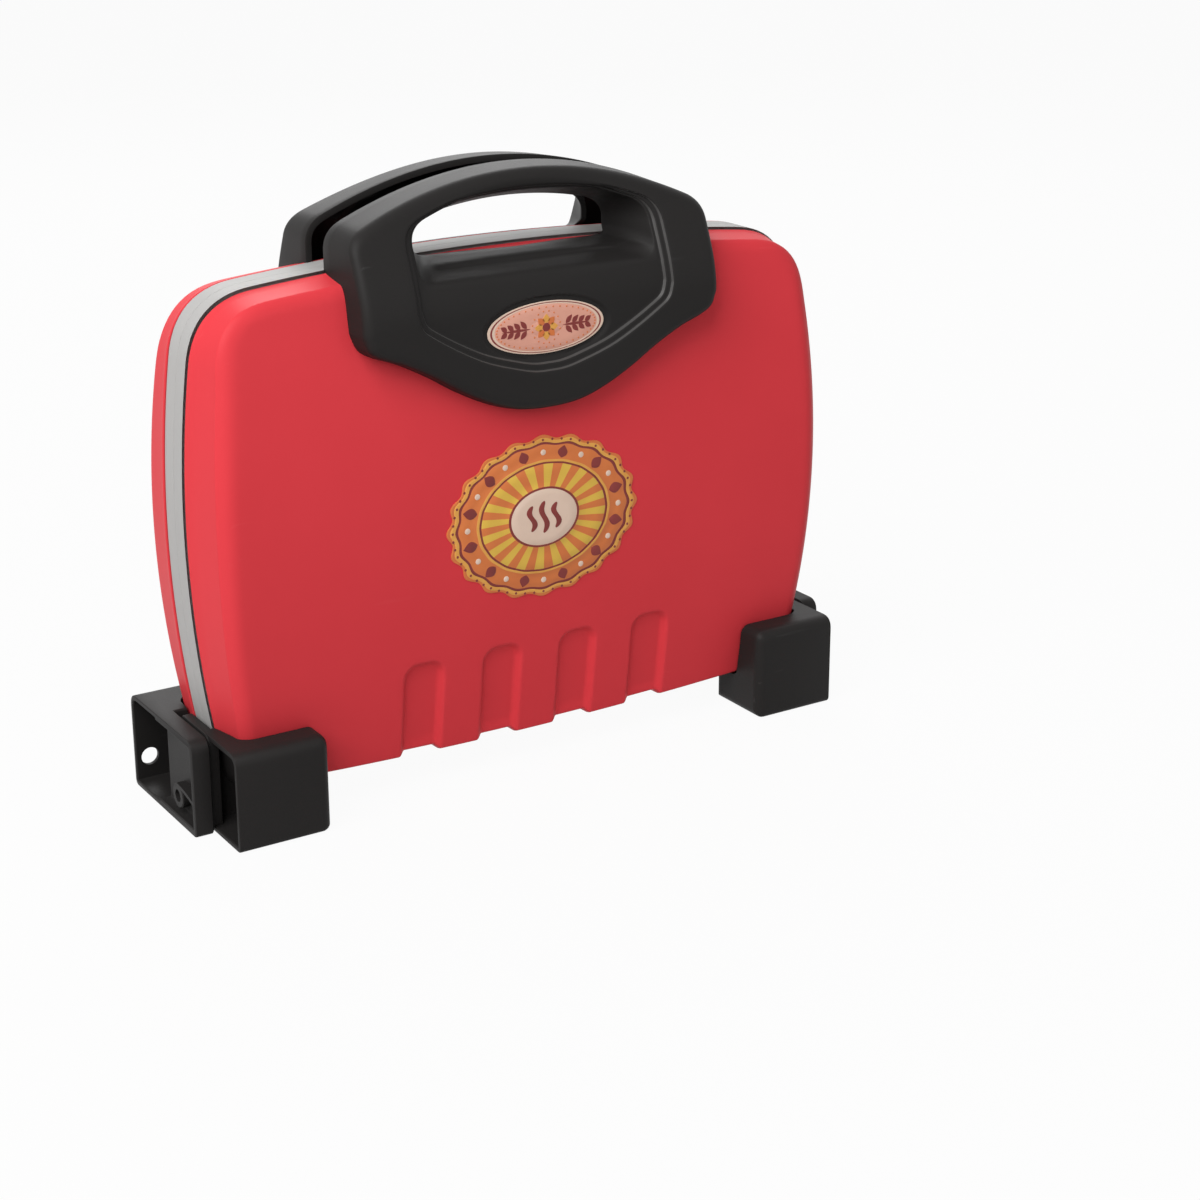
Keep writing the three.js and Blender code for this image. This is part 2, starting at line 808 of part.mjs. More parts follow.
// The hollow of the arm's outer face, round the ring and the rib, with the pocket below the rib.
function armHollow() {
  const webX = armInnerX + hinge.webThickness;
  const ringX = foot.backOuterX - hinge.ringSetback;
  const radii = [foot.bottomRadius, foot.bottomRadius, foot.topRadius, hinge.armRadius];
  const profile = { near: -hinge.armReach, far: foot.backNearDepth, radii };
  const room = profileBar(profile, hinge.armWall, webX, foot.backOuterX + overrun);
  const pocketFar = -hinge.ringRadius - hinge.ribThickness;
  const pocket = block(
    [armInnerX - gap, hinge.armWall - hinge.armReach, hinge.armWall],
    [webX + gap, pocketFar, hinge.z]);
  const ribShadow = armRib(armInnerX - overrun, ringX);
  const ringBar = barX(hinge.ringRadius, 0, hinge.z, armInnerX, ringX);
  return cut(room.add(pocket), [ribShadow, ringBar]);
}

// The back foot, whose arm runs forward outside the cheek and carries the hinge pin.
function makeBackFoot() {
  const profile = { near: foot.backNearDepth, far: foot.depth, radii: footRadii };
  const armRadii = [foot.bottomRadius, foot.bottomRadius, foot.topRadius, hinge.armRadius];
  const armProfile = { near: -hinge.armReach, far: foot.depth, radii: armRadii };
  const rearHole = barY(hinge.rearHoleRadius, foot.backOuterX - hinge.rearHoleInset,
    hinge.z + hinge.rearHoleRise, foot.depth - wall - gap, foot.depth + overrun);
  const body = join([
    footBody(profile, foot.backOuterX),
    profileBar(armProfile, 0, armInnerX, foot.backOuterX),
  ]);
  return cut(body, [
    footHollow(profile, foot.backOuterX),
    armHollow(),
    rearHole,
    ...footCuts(),
  ]);
}

// Fasteners

// A turned profile along Y, with its head at the near end.
function turned(points, steps) {
  const profile = points.map(([radius, y]) => new THREE.Vector2(radius, y));
  return toGeometry(toSolid(new THREE.LatheGeometry(profile, steps)));
}

function screwGeometry(length) {
  const { shankRadius, headRadius, headHeight } = screw;
  return turned([
    [0, -headHeight],
    [headRadius / 2, -headHeight],
    [headRadius, -headHeight / 3],
    [headRadius, 0],
    [shankRadius, 0],
    [shankRadius, length - shankRadius],
    [shankRadius / 3, length],
    [0, length],
  ], screwSteps);
}

function pinGeometry() {
  const inner = cheekInnerX - gap;
  const outer = foot.backOuterX - 2 * hinge.ringSetback;
  return turned([
    [0, inner - hinge.headHeight],
    [hinge.headRadius, inner - hinge.headHeight],
    [hinge.headRadius, inner],
    [hinge.pinRadius, inner],
    [hinge.pinRadius, outer],
    [0, outer],
  ], circleSteps).rotateZ(-Math.PI / 2).translate(0, 0, hinge.z);
}

// Printed pieces

function ovalHalf(half, halfHeight, z) {
  const points = [];
  for (let i = 0; i < circleSteps; i += 1) {
    const angle = ((i + 0.5) / circleSteps - 0.5) * Math.PI;
    points.push([half * Math.cos(angle), z + halfHeight * Math.sin(angle)]);
  }
  return points;
}

function makeBadge() {
  const half = ovalHalf(badge.half, badge.halfHeight, crownZ - badge.belowCrown);
  return loft([
    ring(half, (z) => faceDepth(z) + gap),
    ring(half, (z) => faceDepth(z) + gap + badge.thickness),
  ]);
}

function makeLabel() {
  return labelSolid(0, labelFloor + gap, labelFloor + gap + label.thickness);
}

// Assembly

function mesh(name, geometry, material) {
  const piece = new THREE.Mesh(geometry, material);
  piece.name = name;
  return piece;
}

function screwMeshes(name, places, depthAt, length) {
  return places.map(([x, z], i) => {
    const piece = mesh(`${name}_${i + 1}`, screwGeometry(length), steel);
    piece.position.set(x, depthAt(z) - gap, z);
    return piece;
  });
}

// One half with its depth along +Y. A turned half has its left and right exchanged.
function makeHalf(name, footSolid, sides) {
  const half = new THREE.Group();
  const footGeometry = toGeometry(footSolid);
  half.add(
    mesh(`${name}_shell`, toGeometry(makeShell()), red),
    mesh(`${name}_tray`, toGeometry(makeTray()), grey),
    mesh(`${name}_handle`, toGeometry(makeHandle()), black),
    mesh(`${name}_foot_${sides[1]}`, footGeometry, black),
    mesh(`${name}_foot_${sides[0]}`, mirrored(footGeometry), black),
    ...screwMeshes(`${name}_tray_screw`, trayScrewPlaces, () => floorDepth, screw.trayLength),
    ...screwMeshes(`${name}_handle_screw`, handleScrewPlaces, padDepth, screw.handleLength),
    ...screwMeshes(`${name}_foot_screw`, footScrewPlaces, padDepth, screw.footLength),
  );
  return half;
}

const back = makeHalf('back', makeBackFoot(), ['left', 'right']);
const pin = pinGeometry();
back.add(mesh('hinge_pin_right', pin, black), mesh('hinge_pin_left', mirrored(pin), black));

const front = makeHalf('front', makeFrontFoot(), ['right', 'left']);
front.add(
  mesh('face_badge', toGeometry(makeBadge()), printed),
  mesh('handle_label', toGeometry(makeLabel()), paper),
);
front.rotation.z = Math.PI;

const toaster = new THREE.Group();
toaster.add(back, front);

export default toaster;
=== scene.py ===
"""Toy toaster: the looks of a carry case with twin handles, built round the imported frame.

The case stands closed on its feet: X runs to the right, Y away from the front, Z up. Sizes are in
millimetres and become metres when a mesh is made. Each half is built with its depth along +Y, and
the front half is the same construction turned half a turn about Z.
"""

import json
import logging
import math
from dataclasses import dataclass, field
from enum import Enum
from functools import cached_property, partial
from typing import Callable, Iterable

import bmesh
import bpy
import numpy as np
from bpy.types import ID, Material, Mesh, Node, NodeOutputs, NodeSocket, NodeTree, Object
from mathutils import Matrix, Vector
from mathutils.bvhtree import BVHTree


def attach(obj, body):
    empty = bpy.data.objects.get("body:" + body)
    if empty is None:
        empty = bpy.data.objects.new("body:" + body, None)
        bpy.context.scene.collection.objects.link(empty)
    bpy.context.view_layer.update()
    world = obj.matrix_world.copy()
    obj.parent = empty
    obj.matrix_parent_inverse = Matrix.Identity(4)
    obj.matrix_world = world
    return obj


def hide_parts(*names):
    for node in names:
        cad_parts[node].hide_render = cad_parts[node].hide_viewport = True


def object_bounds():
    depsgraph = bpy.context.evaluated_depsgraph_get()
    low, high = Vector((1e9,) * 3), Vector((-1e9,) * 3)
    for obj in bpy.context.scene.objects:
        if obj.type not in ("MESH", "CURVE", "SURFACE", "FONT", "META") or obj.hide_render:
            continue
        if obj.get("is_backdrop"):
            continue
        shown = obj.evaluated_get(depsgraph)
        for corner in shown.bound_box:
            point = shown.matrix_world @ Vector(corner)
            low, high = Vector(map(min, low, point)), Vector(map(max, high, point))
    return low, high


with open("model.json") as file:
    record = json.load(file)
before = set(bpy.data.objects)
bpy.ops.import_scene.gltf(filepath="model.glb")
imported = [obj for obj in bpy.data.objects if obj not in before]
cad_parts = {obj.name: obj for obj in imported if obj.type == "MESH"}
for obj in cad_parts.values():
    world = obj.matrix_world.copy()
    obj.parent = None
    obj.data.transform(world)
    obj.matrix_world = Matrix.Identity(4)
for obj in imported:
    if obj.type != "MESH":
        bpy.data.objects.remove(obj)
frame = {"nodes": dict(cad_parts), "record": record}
CAD_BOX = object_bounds()

LOG = logging.getLogger("toaster")
METRE = 0.001  # a millimetre in metres
GAP = 0.3  # between neighbouring mouldings
WALL = 2.0  # wall of a moulding
OVERRUN = 6.0  # how far a cutter runs past the material
FLUTED_REACH = 66.0  # from the middle to the end of the fluted part
SHARP_ANGLE = math.radians(38)  # between faces whose edge stays crisp
MERGE_DISTANCE = METRE / 500  # under which two vertices become one

Points = np.ndarray
Colour = tuple[float, float, float]
Place = tuple[float, float]
Amount = float | Points  # a number, or one for each point
Depth = float | Callable[[Points], Points]  # a depth, or what gives it at each height


class Half(Enum):
    """A half of the case."""

    BACK = ("back_half", "back", 1.0)
    FRONT = ("front_half", "front", -1.0)

    def __init__(self, body: str, prefix: str, sign: float) -> None:
        """Keeps the CAD body, the first word of the pieces' names, and the sign that turns it."""
        self.body, self.prefix, self.sign = body, prefix, sign


class Side(Enum):
    """An end of a half, by the sign of its X in the half's own frame."""

    LOW = -1.0
    HIGH = 1.0


# Curves


def mix(a: Amount, b: Amount, share: Amount) -> Amount:
    """The value a share of the way from a to b."""
    return a + (b - a) * share


def smooth(share: Amount) -> Amount:
    """A share eased at both ends, and held between 0 and 1."""
    t = np.clip(share, 0.0, 1.0)
    return t * t * (3.0 - 2.0 * t)


def quadratic(a: Amount, b: Amount, c: Amount, share: Amount) -> Amount:
    """The value a share of the way along a curve from a to c that rounds the corner b."""
    return (1 - share) ** 2 * a + 2 * share * (1 - share) * b + share**2 * c


def arch_height(x: Amount, top: float, drop: float, half: float) -> Amount:
    """Height of an arch at a distance from its middle. It falls by the drop at the half width."""
    return top - drop * (x / half) ** 2


def bend(start: tuple, corner: tuple, end: tuple, steps: int) -> Points:
    """A curve of some steps from a start to an end that rounds the corner between them."""
    places = (np.asarray(place, float) for place in (start, corner, end))
    return quadratic(*places, np.linspace(0.0, 1.0, steps + 1)[:, None])


def spline(points: Points, steps: int) -> Points:
    """A smooth curve through points.

    Args:
        points: The points that it passes, one row each.
        steps: Number of steps from each point to the next.

    Returns:
        The points of the curve.
    """
    padded = np.vstack([2 * points[0] - points[1], points, 2 * points[-1] - points[-2]])
    parts = []
    for i in range(1, len(padded) - 2):
        p0, p1, p2, p3 = padded[i - 1 : i + 3]
        t = np.linspace(0.0, 1.0, steps, endpoint=False)[:, None]
        parts.append(0.5 * (
            2 * p1 + (p2 - p0) * t + (2 * p0 - 5 * p1 + 4 * p2 - p3) * t**2
            + (3 * p1 - p0 - 3 * p2 + p3) * t**3))
    return np.vstack([*parts, points[-1:]])


def arc_lengths(curve: Points) -> Points:
    """The distance along a curve from its start to each of its points."""
    return np.concatenate([[0.0], np.cumsum(np.linalg.norm(np.diff(curve, axis=0), axis=1))])


def sample(curve: Points, places: Points) -> Points:
    """The points of a curve at distances along it."""
    along = arc_lengths(curve)
    return np.stack([np.interp(places, along, curve[:, k]) for k in range(curve.shape[1])], 1)


def offset(loop: Points, distance: float) -> Points:
    """Moves a closed loop outwards.

    Args:
        loop: The loop's points, anticlockwise.
        distance: How far it moves.

    Returns:
        The moved points.
    """
    along = np.roll(loop, -1, axis=0) - np.roll(loop, 1, axis=0)
    along /= np.linalg.norm(along, axis=1)[:, None]
    return loop + np.stack([along[:, 1], -along[:, 0]], 1) * distance


def mirror_half(half: Points) -> Points:
    """The closed loop of a right half that runs from bottom to top."""
    return np.vstack([half, half[::-1] * np.array([-1.0, 1.0])])


def depth_at(depth: Depth, z: Points) -> Amount:
    """The depth at heights."""
    return depth(z) if callable(depth) else depth


def lift(loop: Points, depth: Amount) -> Points:
    """Points of the plane of an outline, X and Z, set at a depth."""
    return np.stack([loop[:, 0], np.broadcast_to(depth, len(loop)), loop[:, 1]], 1)


# Meshes


@dataclass
class Skin:
    """Collects the vertices and faces of one closed piece."""

    points: list[Points] = field(default_factory=list)
    faces: list[tuple[int, ...]] = field(default_factory=list)
    paints: list[int] = field(default_factory=list)

    def add(self, block: Points) -> int:
        """Adds vertices and returns the index of the first one."""
        self.points.append(np.asarray(block, float))
        return sum(len(before) for before in self.points[:-1])

    def join(self, low: int, high: int, size: int, paint: int | list[int] = 0) -> None:
        """Joins two closed rings of equal size with a strip.

        Args:
            low: Index of the first ring's first vertex.
            high: Index of the second ring's first vertex.
            size: Vertices in each ring.
            paint: Material index, or one for each face of the strip.
        """
        for i in range(size):
            k = (i + 1) % size
            self.faces.append((low + i, low + k, high + k, high + i))
            self.paints.append(paint if isinstance(paint, int) else paint[i])

    def loft(self, rings: list[Points]) -> list[int]:
        """Adds rings and joins each one to the next.

        Args:
            rings: The rings, all with the same number of points.

        Returns:
            The index of each ring's first vertex.
        """
        starts = [self.add(ring) for ring in rings]
        for low, high in zip(starts, starts[1:]):
            self.join(low, high, len(rings[0]))
        return starts

    def polygon(self, first: int, size: int, paint: int = 0, turned: bool = False) -> None:
        """Adds one flat face over a ring.

        Args:
            first: Index of the ring's first vertex.
            size: Vertices in the ring.
            paint: Material index.
            turned: Whether the face runs round the other way.
        """
        corners = range(first, first + size)
        self.faces.append(tuple(corners[::-1] if turned else corners))
        self.paints.append(paint)

    def mesh(self, name: str, sign: float = 1.0) -> Mesh:
        """Makes the mesh in metres.

        Args:
            name: Name of the mesh.
            sign: Factor on X and Y that turns the half into place.

        Returns:
            The mesh, smooth with crisp edges.
        """
        points = np.vstack(self.points) * np.array([sign, sign, 1.0]) * METRE
        mesh = bpy.data.meshes.new(name)
        mesh.from_pydata(points.tolist(), [], self.faces)
        mesh.polygons.foreach_set("material_index", self.paints)
        finish_mesh(mesh)
        return mesh


def finish_mesh(mesh: Mesh, recalculate: bool = True) -> None:
    """Merges doubles, turns faces outwards and marks the crisp edges of a mesh.

    Args:
        mesh: The mesh that is worked on.
        recalculate: Whether the faces are turned to point outwards.
    """
    shape = bmesh.new()
    shape.from_mesh(mesh)
    bmesh.ops.remove_doubles(shape, verts=shape.verts, dist=MERGE_DISTANCE)
    bmesh.ops.dissolve_degenerate(shape, edges=shape.edges, dist=MERGE_DISTANCE / 2)
    if recalculate:
        bmesh.ops.recalc_face_normals(shape, faces=shape.faces)
    shape.to_mesh(mesh)
    shape.free()
    mesh.polygons.foreach_set("use_smooth", [True] * len(mesh.polygons))
    mesh.set_sharp_from_angle(angle=SHARP_ANGLE)
    mesh.update()


def place_object(name: str, data: ID | None) -> Object:
    """Puts an object in the scene.

    Args:
        name: Name of the object.
        data: Its mesh, camera or lamp.

    Returns:
        The object.
    """
    placed = bpy.data.objects.new(name, data)
    bpy.context.scene.collection.objects.link(placed)
    return placed


def make_object(mesh: Mesh, *materials: Material) -> Object:
    """Puts a mesh in the scene with its materials.

    Args:
        mesh: The mesh, whose name the object takes.
        materials: Its materials, in the order of the paints.

    Returns:
        The object.
    """
    piece = place_object(mesh.name, mesh)
    for material in materials:
        piece.data.materials.append(material)
    return piece


def settle(
    mesh: Mesh, half: Half, slot: str, materials: Iterable[Material] = (), *nodes: str
) -> None:
    """Puts a finished piece in the scene and hands it to the frame.

    Args:
        mesh: The piece's mesh.
        half: Half that it rides on.
        slot: Material slot of the record. It is not used.
        materials: Its materials, unless a tree has set them.
        nodes: CAD nodes that it stands for.
    """
    piece = make_object(mesh, *materials)
    if nodes:
        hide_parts(*nodes)
    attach(piece, half.body)
    LOG.info("%s: %d faces on %s", piece.name, len(mesh.polygons), half.body)


def evaluated_mesh(piece: Object, name: str) -> Mesh:
    """Applies the modifiers of a piece.

    Args:
        piece: The piece, which stays as it is.
        name: Name of the new mesh.

    Returns:
        The plain mesh.
    """
    bpy.context.view_layer.update()
    graph = bpy.context.evaluated_depsgraph_get()
    mesh = bpy.data.meshes.new_from_object(piece.evaluated_get(graph), depsgraph=graph)
    mesh.name = name
    return mesh


class Cut(Enum):
    """What a boolean step does."""

    JOIN = "UNION"
    REMOVE = "DIFFERENCE"


def boolean(mesh: Mesh, tool: Mesh, step: Cut) -> Mesh:
    """Joins one closed mesh to another, or cuts it with the other.

    Args:
        mesh: The mesh that is worked on.
        tool: The mesh that it is worked with.
        step: What is done.

    Returns:
        The new mesh.
    """
    piece = make_object(mesh)
    other = make_object(tool)
    modifier = piece.modifiers.new("boolean", "BOOLEAN")
    modifier.operation = step.value
    modifier.solver = "EXACT"
    modifier.object = other
    result = evaluated_mesh(piece, mesh.name)
    for spent in (piece, other):
        bpy.data.objects.remove(spent)
    return result


# Node trees


@dataclass
class Tree:
    """A node tree that is built by naming nodes and what feeds them."""

    tree: NodeTree

    @classmethod
    def group(cls, kind: str, name: str, inputs: dict[str, str], outputs: dict[str, str]) -> "Tree":
        """Makes a node group.

        Args:
            kind: Type of its tree.
            name: Its name.
            inputs: Kind of each named input.
            outputs: Kind of each named output.

        Returns:
            The new tree.
        """
        made = cls(bpy.data.node_groups.new(name, kind))
        for sockets, way in ((inputs, "INPUT"), (outputs, "OUTPUT")):
            for label, data in sockets.items():
                made.tree.interface.new_socket(
                    name=label, in_out=way, socket_type=f"NodeSocket{data}")
        return made

    def add(self, kind: str, **settings: object) -> Node:
        """Adds a node.

        Args:
            kind: Type of the node.
            settings: Its properties, and under inputs what feeds its inputs.

        Returns:
            The node.
        """
        node = self.tree.nodes.new(kind)
        inputs = settings.pop("inputs", {})
        for name, value in settings.items():
            setattr(node, name, value)
        self.feed(node, inputs)
        return node

    def feed(self, node: Node, inputs: dict[str | int, object]) -> None:
        """Feeds inputs of a node.

        Args:
            node: The node.
            inputs: What feeds each input, by name or number: a value, a socket, or a node, which
                stands for its first output.
        """
        for name, source in inputs.items():
            socket = node.inputs[name]
            if isinstance(source, Node):
                source = source.outputs[0]
            if isinstance(source, NodeSocket):
                self.tree.links.new(source, socket)
            else:
                socket.default_value = source

    def math(self, operation: str, *values: object, clamp: bool = False) -> Node:
        """Adds a math node that values feed, in order. It can be held between 0 and 1."""
        settings = {"operation": operation, "use_clamp": clamp, "inputs": dict(enumerate(values))}
        return self.add("ShaderNodeMath", **settings)

    def vector(self, **parts: object) -> Node:
        """Adds a vector that is put together from its parts."""
        return self.add("ShaderNodeCombineXYZ", inputs=parts)

    def noise(self, place: object, scale: object, detail: float, **more: float) -> Node:
        """Adds a noise texture, with values for any other inputs."""
        inputs = {"Vector": place, "Scale": scale, "Detail": detail, **more}
        return self.add("ShaderNodeTexNoise", inputs=inputs)

    def remap(self, value: object, low: float, high: float, to_low: float = 0.0,
              to_high: float = 1.0) -> Node:
        """Adds a node that moves a value from one range to another.

        Args:
            value: The value.
            low: Lower end of its range.
            high: Upper end of its range.
            to_low: What the lower end becomes.
            to_high: What the upper end becomes.

        Returns:
            The node.
        """
        inputs = {
            "Value": value, "From Min": low, "From Max": high, "To Min": to_low, "To Max": to_high}
        return self.add("ShaderNodeMapRange", inputs=inputs)

    def blend(self, share: object, low: object, high: object) -> NodeSocket:
        """Adds a mix of two colours, and returns its output."""
        inputs = {"Factor": share, "A": low, "B": high}
        return self.add("ShaderNodeMix", data_type="RGBA", inputs=inputs).outputs["Result"]


class RepeatTree:
    """A geometry tree for what repeats, made once and used with each half's own values."""

    name: str
    inputs: dict[str, str]
    made: Tree | None = None

    @classmethod
    def build(cls) -> Tree:
        """Builds the tree when it is first asked for.

        Returns:
            The tree, whose shapes are realized and have their material.
        """
        if cls.made is None:
            inputs = {"Geometry": "Geometry", **cls.inputs, "Finish": "Material"}
            made = Tree.group("GeometryNodeTree", cls.name, inputs, {"Geometry": "Geometry"})
            start = made.add("NodeGroupInput").outputs
            whole = made.add(
                "GeometryNodeRealizeInstances", inputs={"Geometry": cls.shape(made, start)})
            dressed = made.add(
                "GeometryNodeSetMaterial", inputs={"Geometry": whole, "Material": start["Finish"]})
            made.add("NodeGroupOutput", inputs={"Geometry": dressed})
            cls.made = made
        return cls.made

    @staticmethod
    def shape(made: Tree, start: NodeOutputs) -> Node:
        """Adds the nodes that make the shape, and returns the last one."""
        raise NotImplementedError

    @classmethod
    def run(cls, points: Points, half: Half, values: dict[str, object], name: str,
            edges: list[tuple[int, int]] | None = None) -> Mesh:
        """Makes the shapes at places.

        Args:
            points: The places, in millimetres in the half's own frame.
            half: The half that they are turned to.
            values: Value of each named input.
            name: Name of the mesh.
            edges: The lines between the places, by index.

        Returns:
            The finished plain mesh.
        """
        guide = bpy.data.meshes.new("places")
        placed = points * np.array([half.sign, half.sign, 1.0]) * METRE
        guide.from_pydata(placed.tolist(), edges or [], [])
        base = make_object(guide)
        modifier = base.modifiers.new(cls.name, "NODES")
        modifier.node_group = cls.build().tree
        for item in modifier.node_group.interface.items_tree:
            if item.item_type == "SOCKET" and item.in_out == "INPUT" and item.name in values:
                modifier[item.identifier] = values[item.name]
        mesh = evaluated_mesh(base, name)
        base.modifiers.remove(modifier)
        bpy.data.objects.remove(base)
        finish_mesh(mesh)
        return mesh


# Finishes


def grain_group() -> NodeTree:
    """Builds the fine texture of a moulded surface.

    Returns:
        A group that gives a height, and small changes of gloss and shade.
    """
    made = Tree.group(
        "ShaderNodeTree", "moulded_grain", {"Grain": "Float", "Cloud": "Float"},
        {"Height": "Float", "Gloss": "Float", "Shade": "Float"})
    start = made.add("NodeGroupInput").outputs
    place = made.add("ShaderNodeTexCoord").outputs["Object"]
    fine = made.noise(place, start["Grain"], 3.0, Roughness=0.6)
    cells = made.add("ShaderNodeTexVoronoi", inputs={"Vector": place, "Scale": start["Grain"]})
    cloud = made.noise(place, start["Cloud"], 2.0)
    made.add("NodeGroupOutput", inputs={
        "Height": made.math("MULTIPLY_ADD", cells, 0.4, fine),
        "Shade": cloud,
        "Gloss": made.math("MULTIPLY_ADD", fine, 0.5, cloud),
    })
    return made.tree


def scuff_group() -> NodeTree:
    """Builds the faint marks of handling: long fine scratches in a few patches.

    Returns:
        A group that gives their mask.
    """
    made = Tree.group("ShaderNodeTree", "handling_scuffs", {"Spread": "Float"}, {"Mask": "Float"})
    start = made.add("NodeGroupInput").outputs
    place = made.add("ShaderNodeTexCoord").outputs["Object"]
    turned = made.add("ShaderNodeMapping", inputs={
        "Vector": place, "Rotation": (0.3, 0.5, 0.9), "Scale": (9, 240, 90)})
    lines = made.noise(turned, 2.2, 4.0, Distortion=0.4)
    patches = made.noise(place, start["Spread"], 3.0)
    mask = made.math("MULTIPLY", made.remap(lines, 0.66, 0.74), made.remap(patches, 0.54, 0.68))
    made.add("NodeGroupOutput", inputs={"Mask": mask})
    return made.tree


GRAIN = grain_group()
SCUFFS = scuff_group()


@dataclass(frozen=True)
class Finish:
    """A moulded or printed surface. Its patterns read object coordinates, in metres."""

    name: str
    colour: Colour
    deep: Colour
    roughness: float
    grain: float = 2600.0
    cloud: float = 22.0
    relief: float = 0.00002
    gloss_change: float = 0.12
    wear: Colour = (0.8, 0.8, 0.8)
    wear_amount: float = 0.1
    scuff_spread: float = 14.0
    metallic: float = 0.0
    coat: float = 0.0
    specular: float = 0.5

    def build(self) -> Material:
        """Makes the material: two tones, grain and gloss, with scuffs laid over them.

        Returns:
            The material.
        """
        material = bpy.data.materials.new(self.name)
        material.use_nodes = True
        made = Tree(material.node_tree)
        grain = made.add(
            "ShaderNodeGroup", node_tree=GRAIN, inputs={"Grain": self.grain, "Cloud": self.cloud}
        ).outputs
        scuffs = made.add(
            "ShaderNodeGroup", node_tree=SCUFFS, inputs={"Spread": self.scuff_spread})
        tone = made.blend(grain["Shade"], (*self.deep, 1.0), (*self.colour, 1.0))
        worn = made.math("MULTIPLY", scuffs, self.wear_amount)
        low, high = self.roughness - self.gloss_change, self.roughness + self.gloss_change
        rough = made.remap(grain["Gloss"], 0.0, 1.5, low, high)
        bump = made.add("ShaderNodeBump", inputs={
            "Height": grain["Height"], "Distance": self.relief, "Strength": 1.0})
        made.feed(material.node_tree.nodes["Principled BSDF"], {
            "Base Color": made.blend(worn, tone, (*self.wear, 1.0)),
            "Roughness": made.math("MULTIPLY_ADD", scuffs, self.wear_amount, rough),
            "Normal": bump,
            "Metallic": self.metallic,
            "Coat Weight": self.coat,
            "Specular IOR Level": self.specular,
        })
        return material


class Ink(Enum):
    """The colours of a printed piece, by material index."""

    GOLD = 0
    ORANGE = 1
    BROWN_RED = 2
    YELLOW = 3
    CREAM = 4
    BLUSH = 5


PRINT_TONES = {  # colour and deep colour of each ink
    Ink.GOLD: ((0.78, 0.40, 0.09), (0.62, 0.28, 0.055)),
    Ink.ORANGE: ((0.66, 0.20, 0.055), (0.58, 0.15, 0.045)),
    Ink.BROWN_RED: ((0.24, 0.042, 0.036), (0.19, 0.032, 0.030)),
    Ink.YELLOW: ((0.72, 0.47, 0.075), (0.64, 0.40, 0.06)),
    Ink.CREAM: ((0.74, 0.57, 0.46), (0.68, 0.50, 0.39)),
    Ink.BLUSH: ((0.72, 0.36, 0.27), (0.66, 0.31, 0.23)),
}


class Finishes:
    """The materials of the case, made once."""

    def __init__(self) -> None:
        """Builds every finish."""
        self.red = Finish(
            "red_shell_plastic", (0.66, 0.046, 0.058), (0.61, 0.040, 0.050), 0.44,
            wear=(0.8, 0.3, 0.3), relief=0.000012, specular=0.08,
        ).build()
        self.grey = Finish(
            "grey_tray_plastic", (0.40, 0.393, 0.385), (0.375, 0.368, 0.36), 0.52,
            wear=(0.4, 0.4, 0.4), relief=0.000012, specular=0.1,
        ).build()
        self.black = Finish(
            "black_grip_plastic", (0.0185, 0.0172, 0.0167), (0.0150, 0.0139, 0.0135), 0.45,
            wear=(0.09, 0.09, 0.09), wear_amount=0.25, relief=0.00003, grain=1900.0,
            specular=0.09,
        ).build()
        # A lighter black that paints a highlight onto the steps of the handle's field border
        self.painted_highlight_black = Finish(
            "burnished_black_edge", (0.060, 0.0575, 0.056), (0.052, 0.050, 0.0485), 0.36,
            wear=(0.12, 0.12, 0.12), relief=0.00001, grain=1900.0, specular=0.2,
        ).build()
        self.steel = Finish(
            "zinc_plated_steel", (0.58, 0.58, 0.57), (0.48, 0.48, 0.47), 0.32,
            wear=(0.3, 0.3, 0.3), metallic=1.0, grain=900.0, cloud=120.0, relief=0.00001,
        ).build()
        self.inks = {
            ink: Finish(
                f"{ink.name.lower()}_print", *tones, 0.38, grain=5200.0, cloud=160.0,
                relief=0.000004, gloss_change=0.06, coat=0.05, wear=(0.8, 0.7, 0.6),
                wear_amount=0.06, specular=0.2,
            ).build()
            for ink, tones in PRINT_TONES.items()
        }


# Case


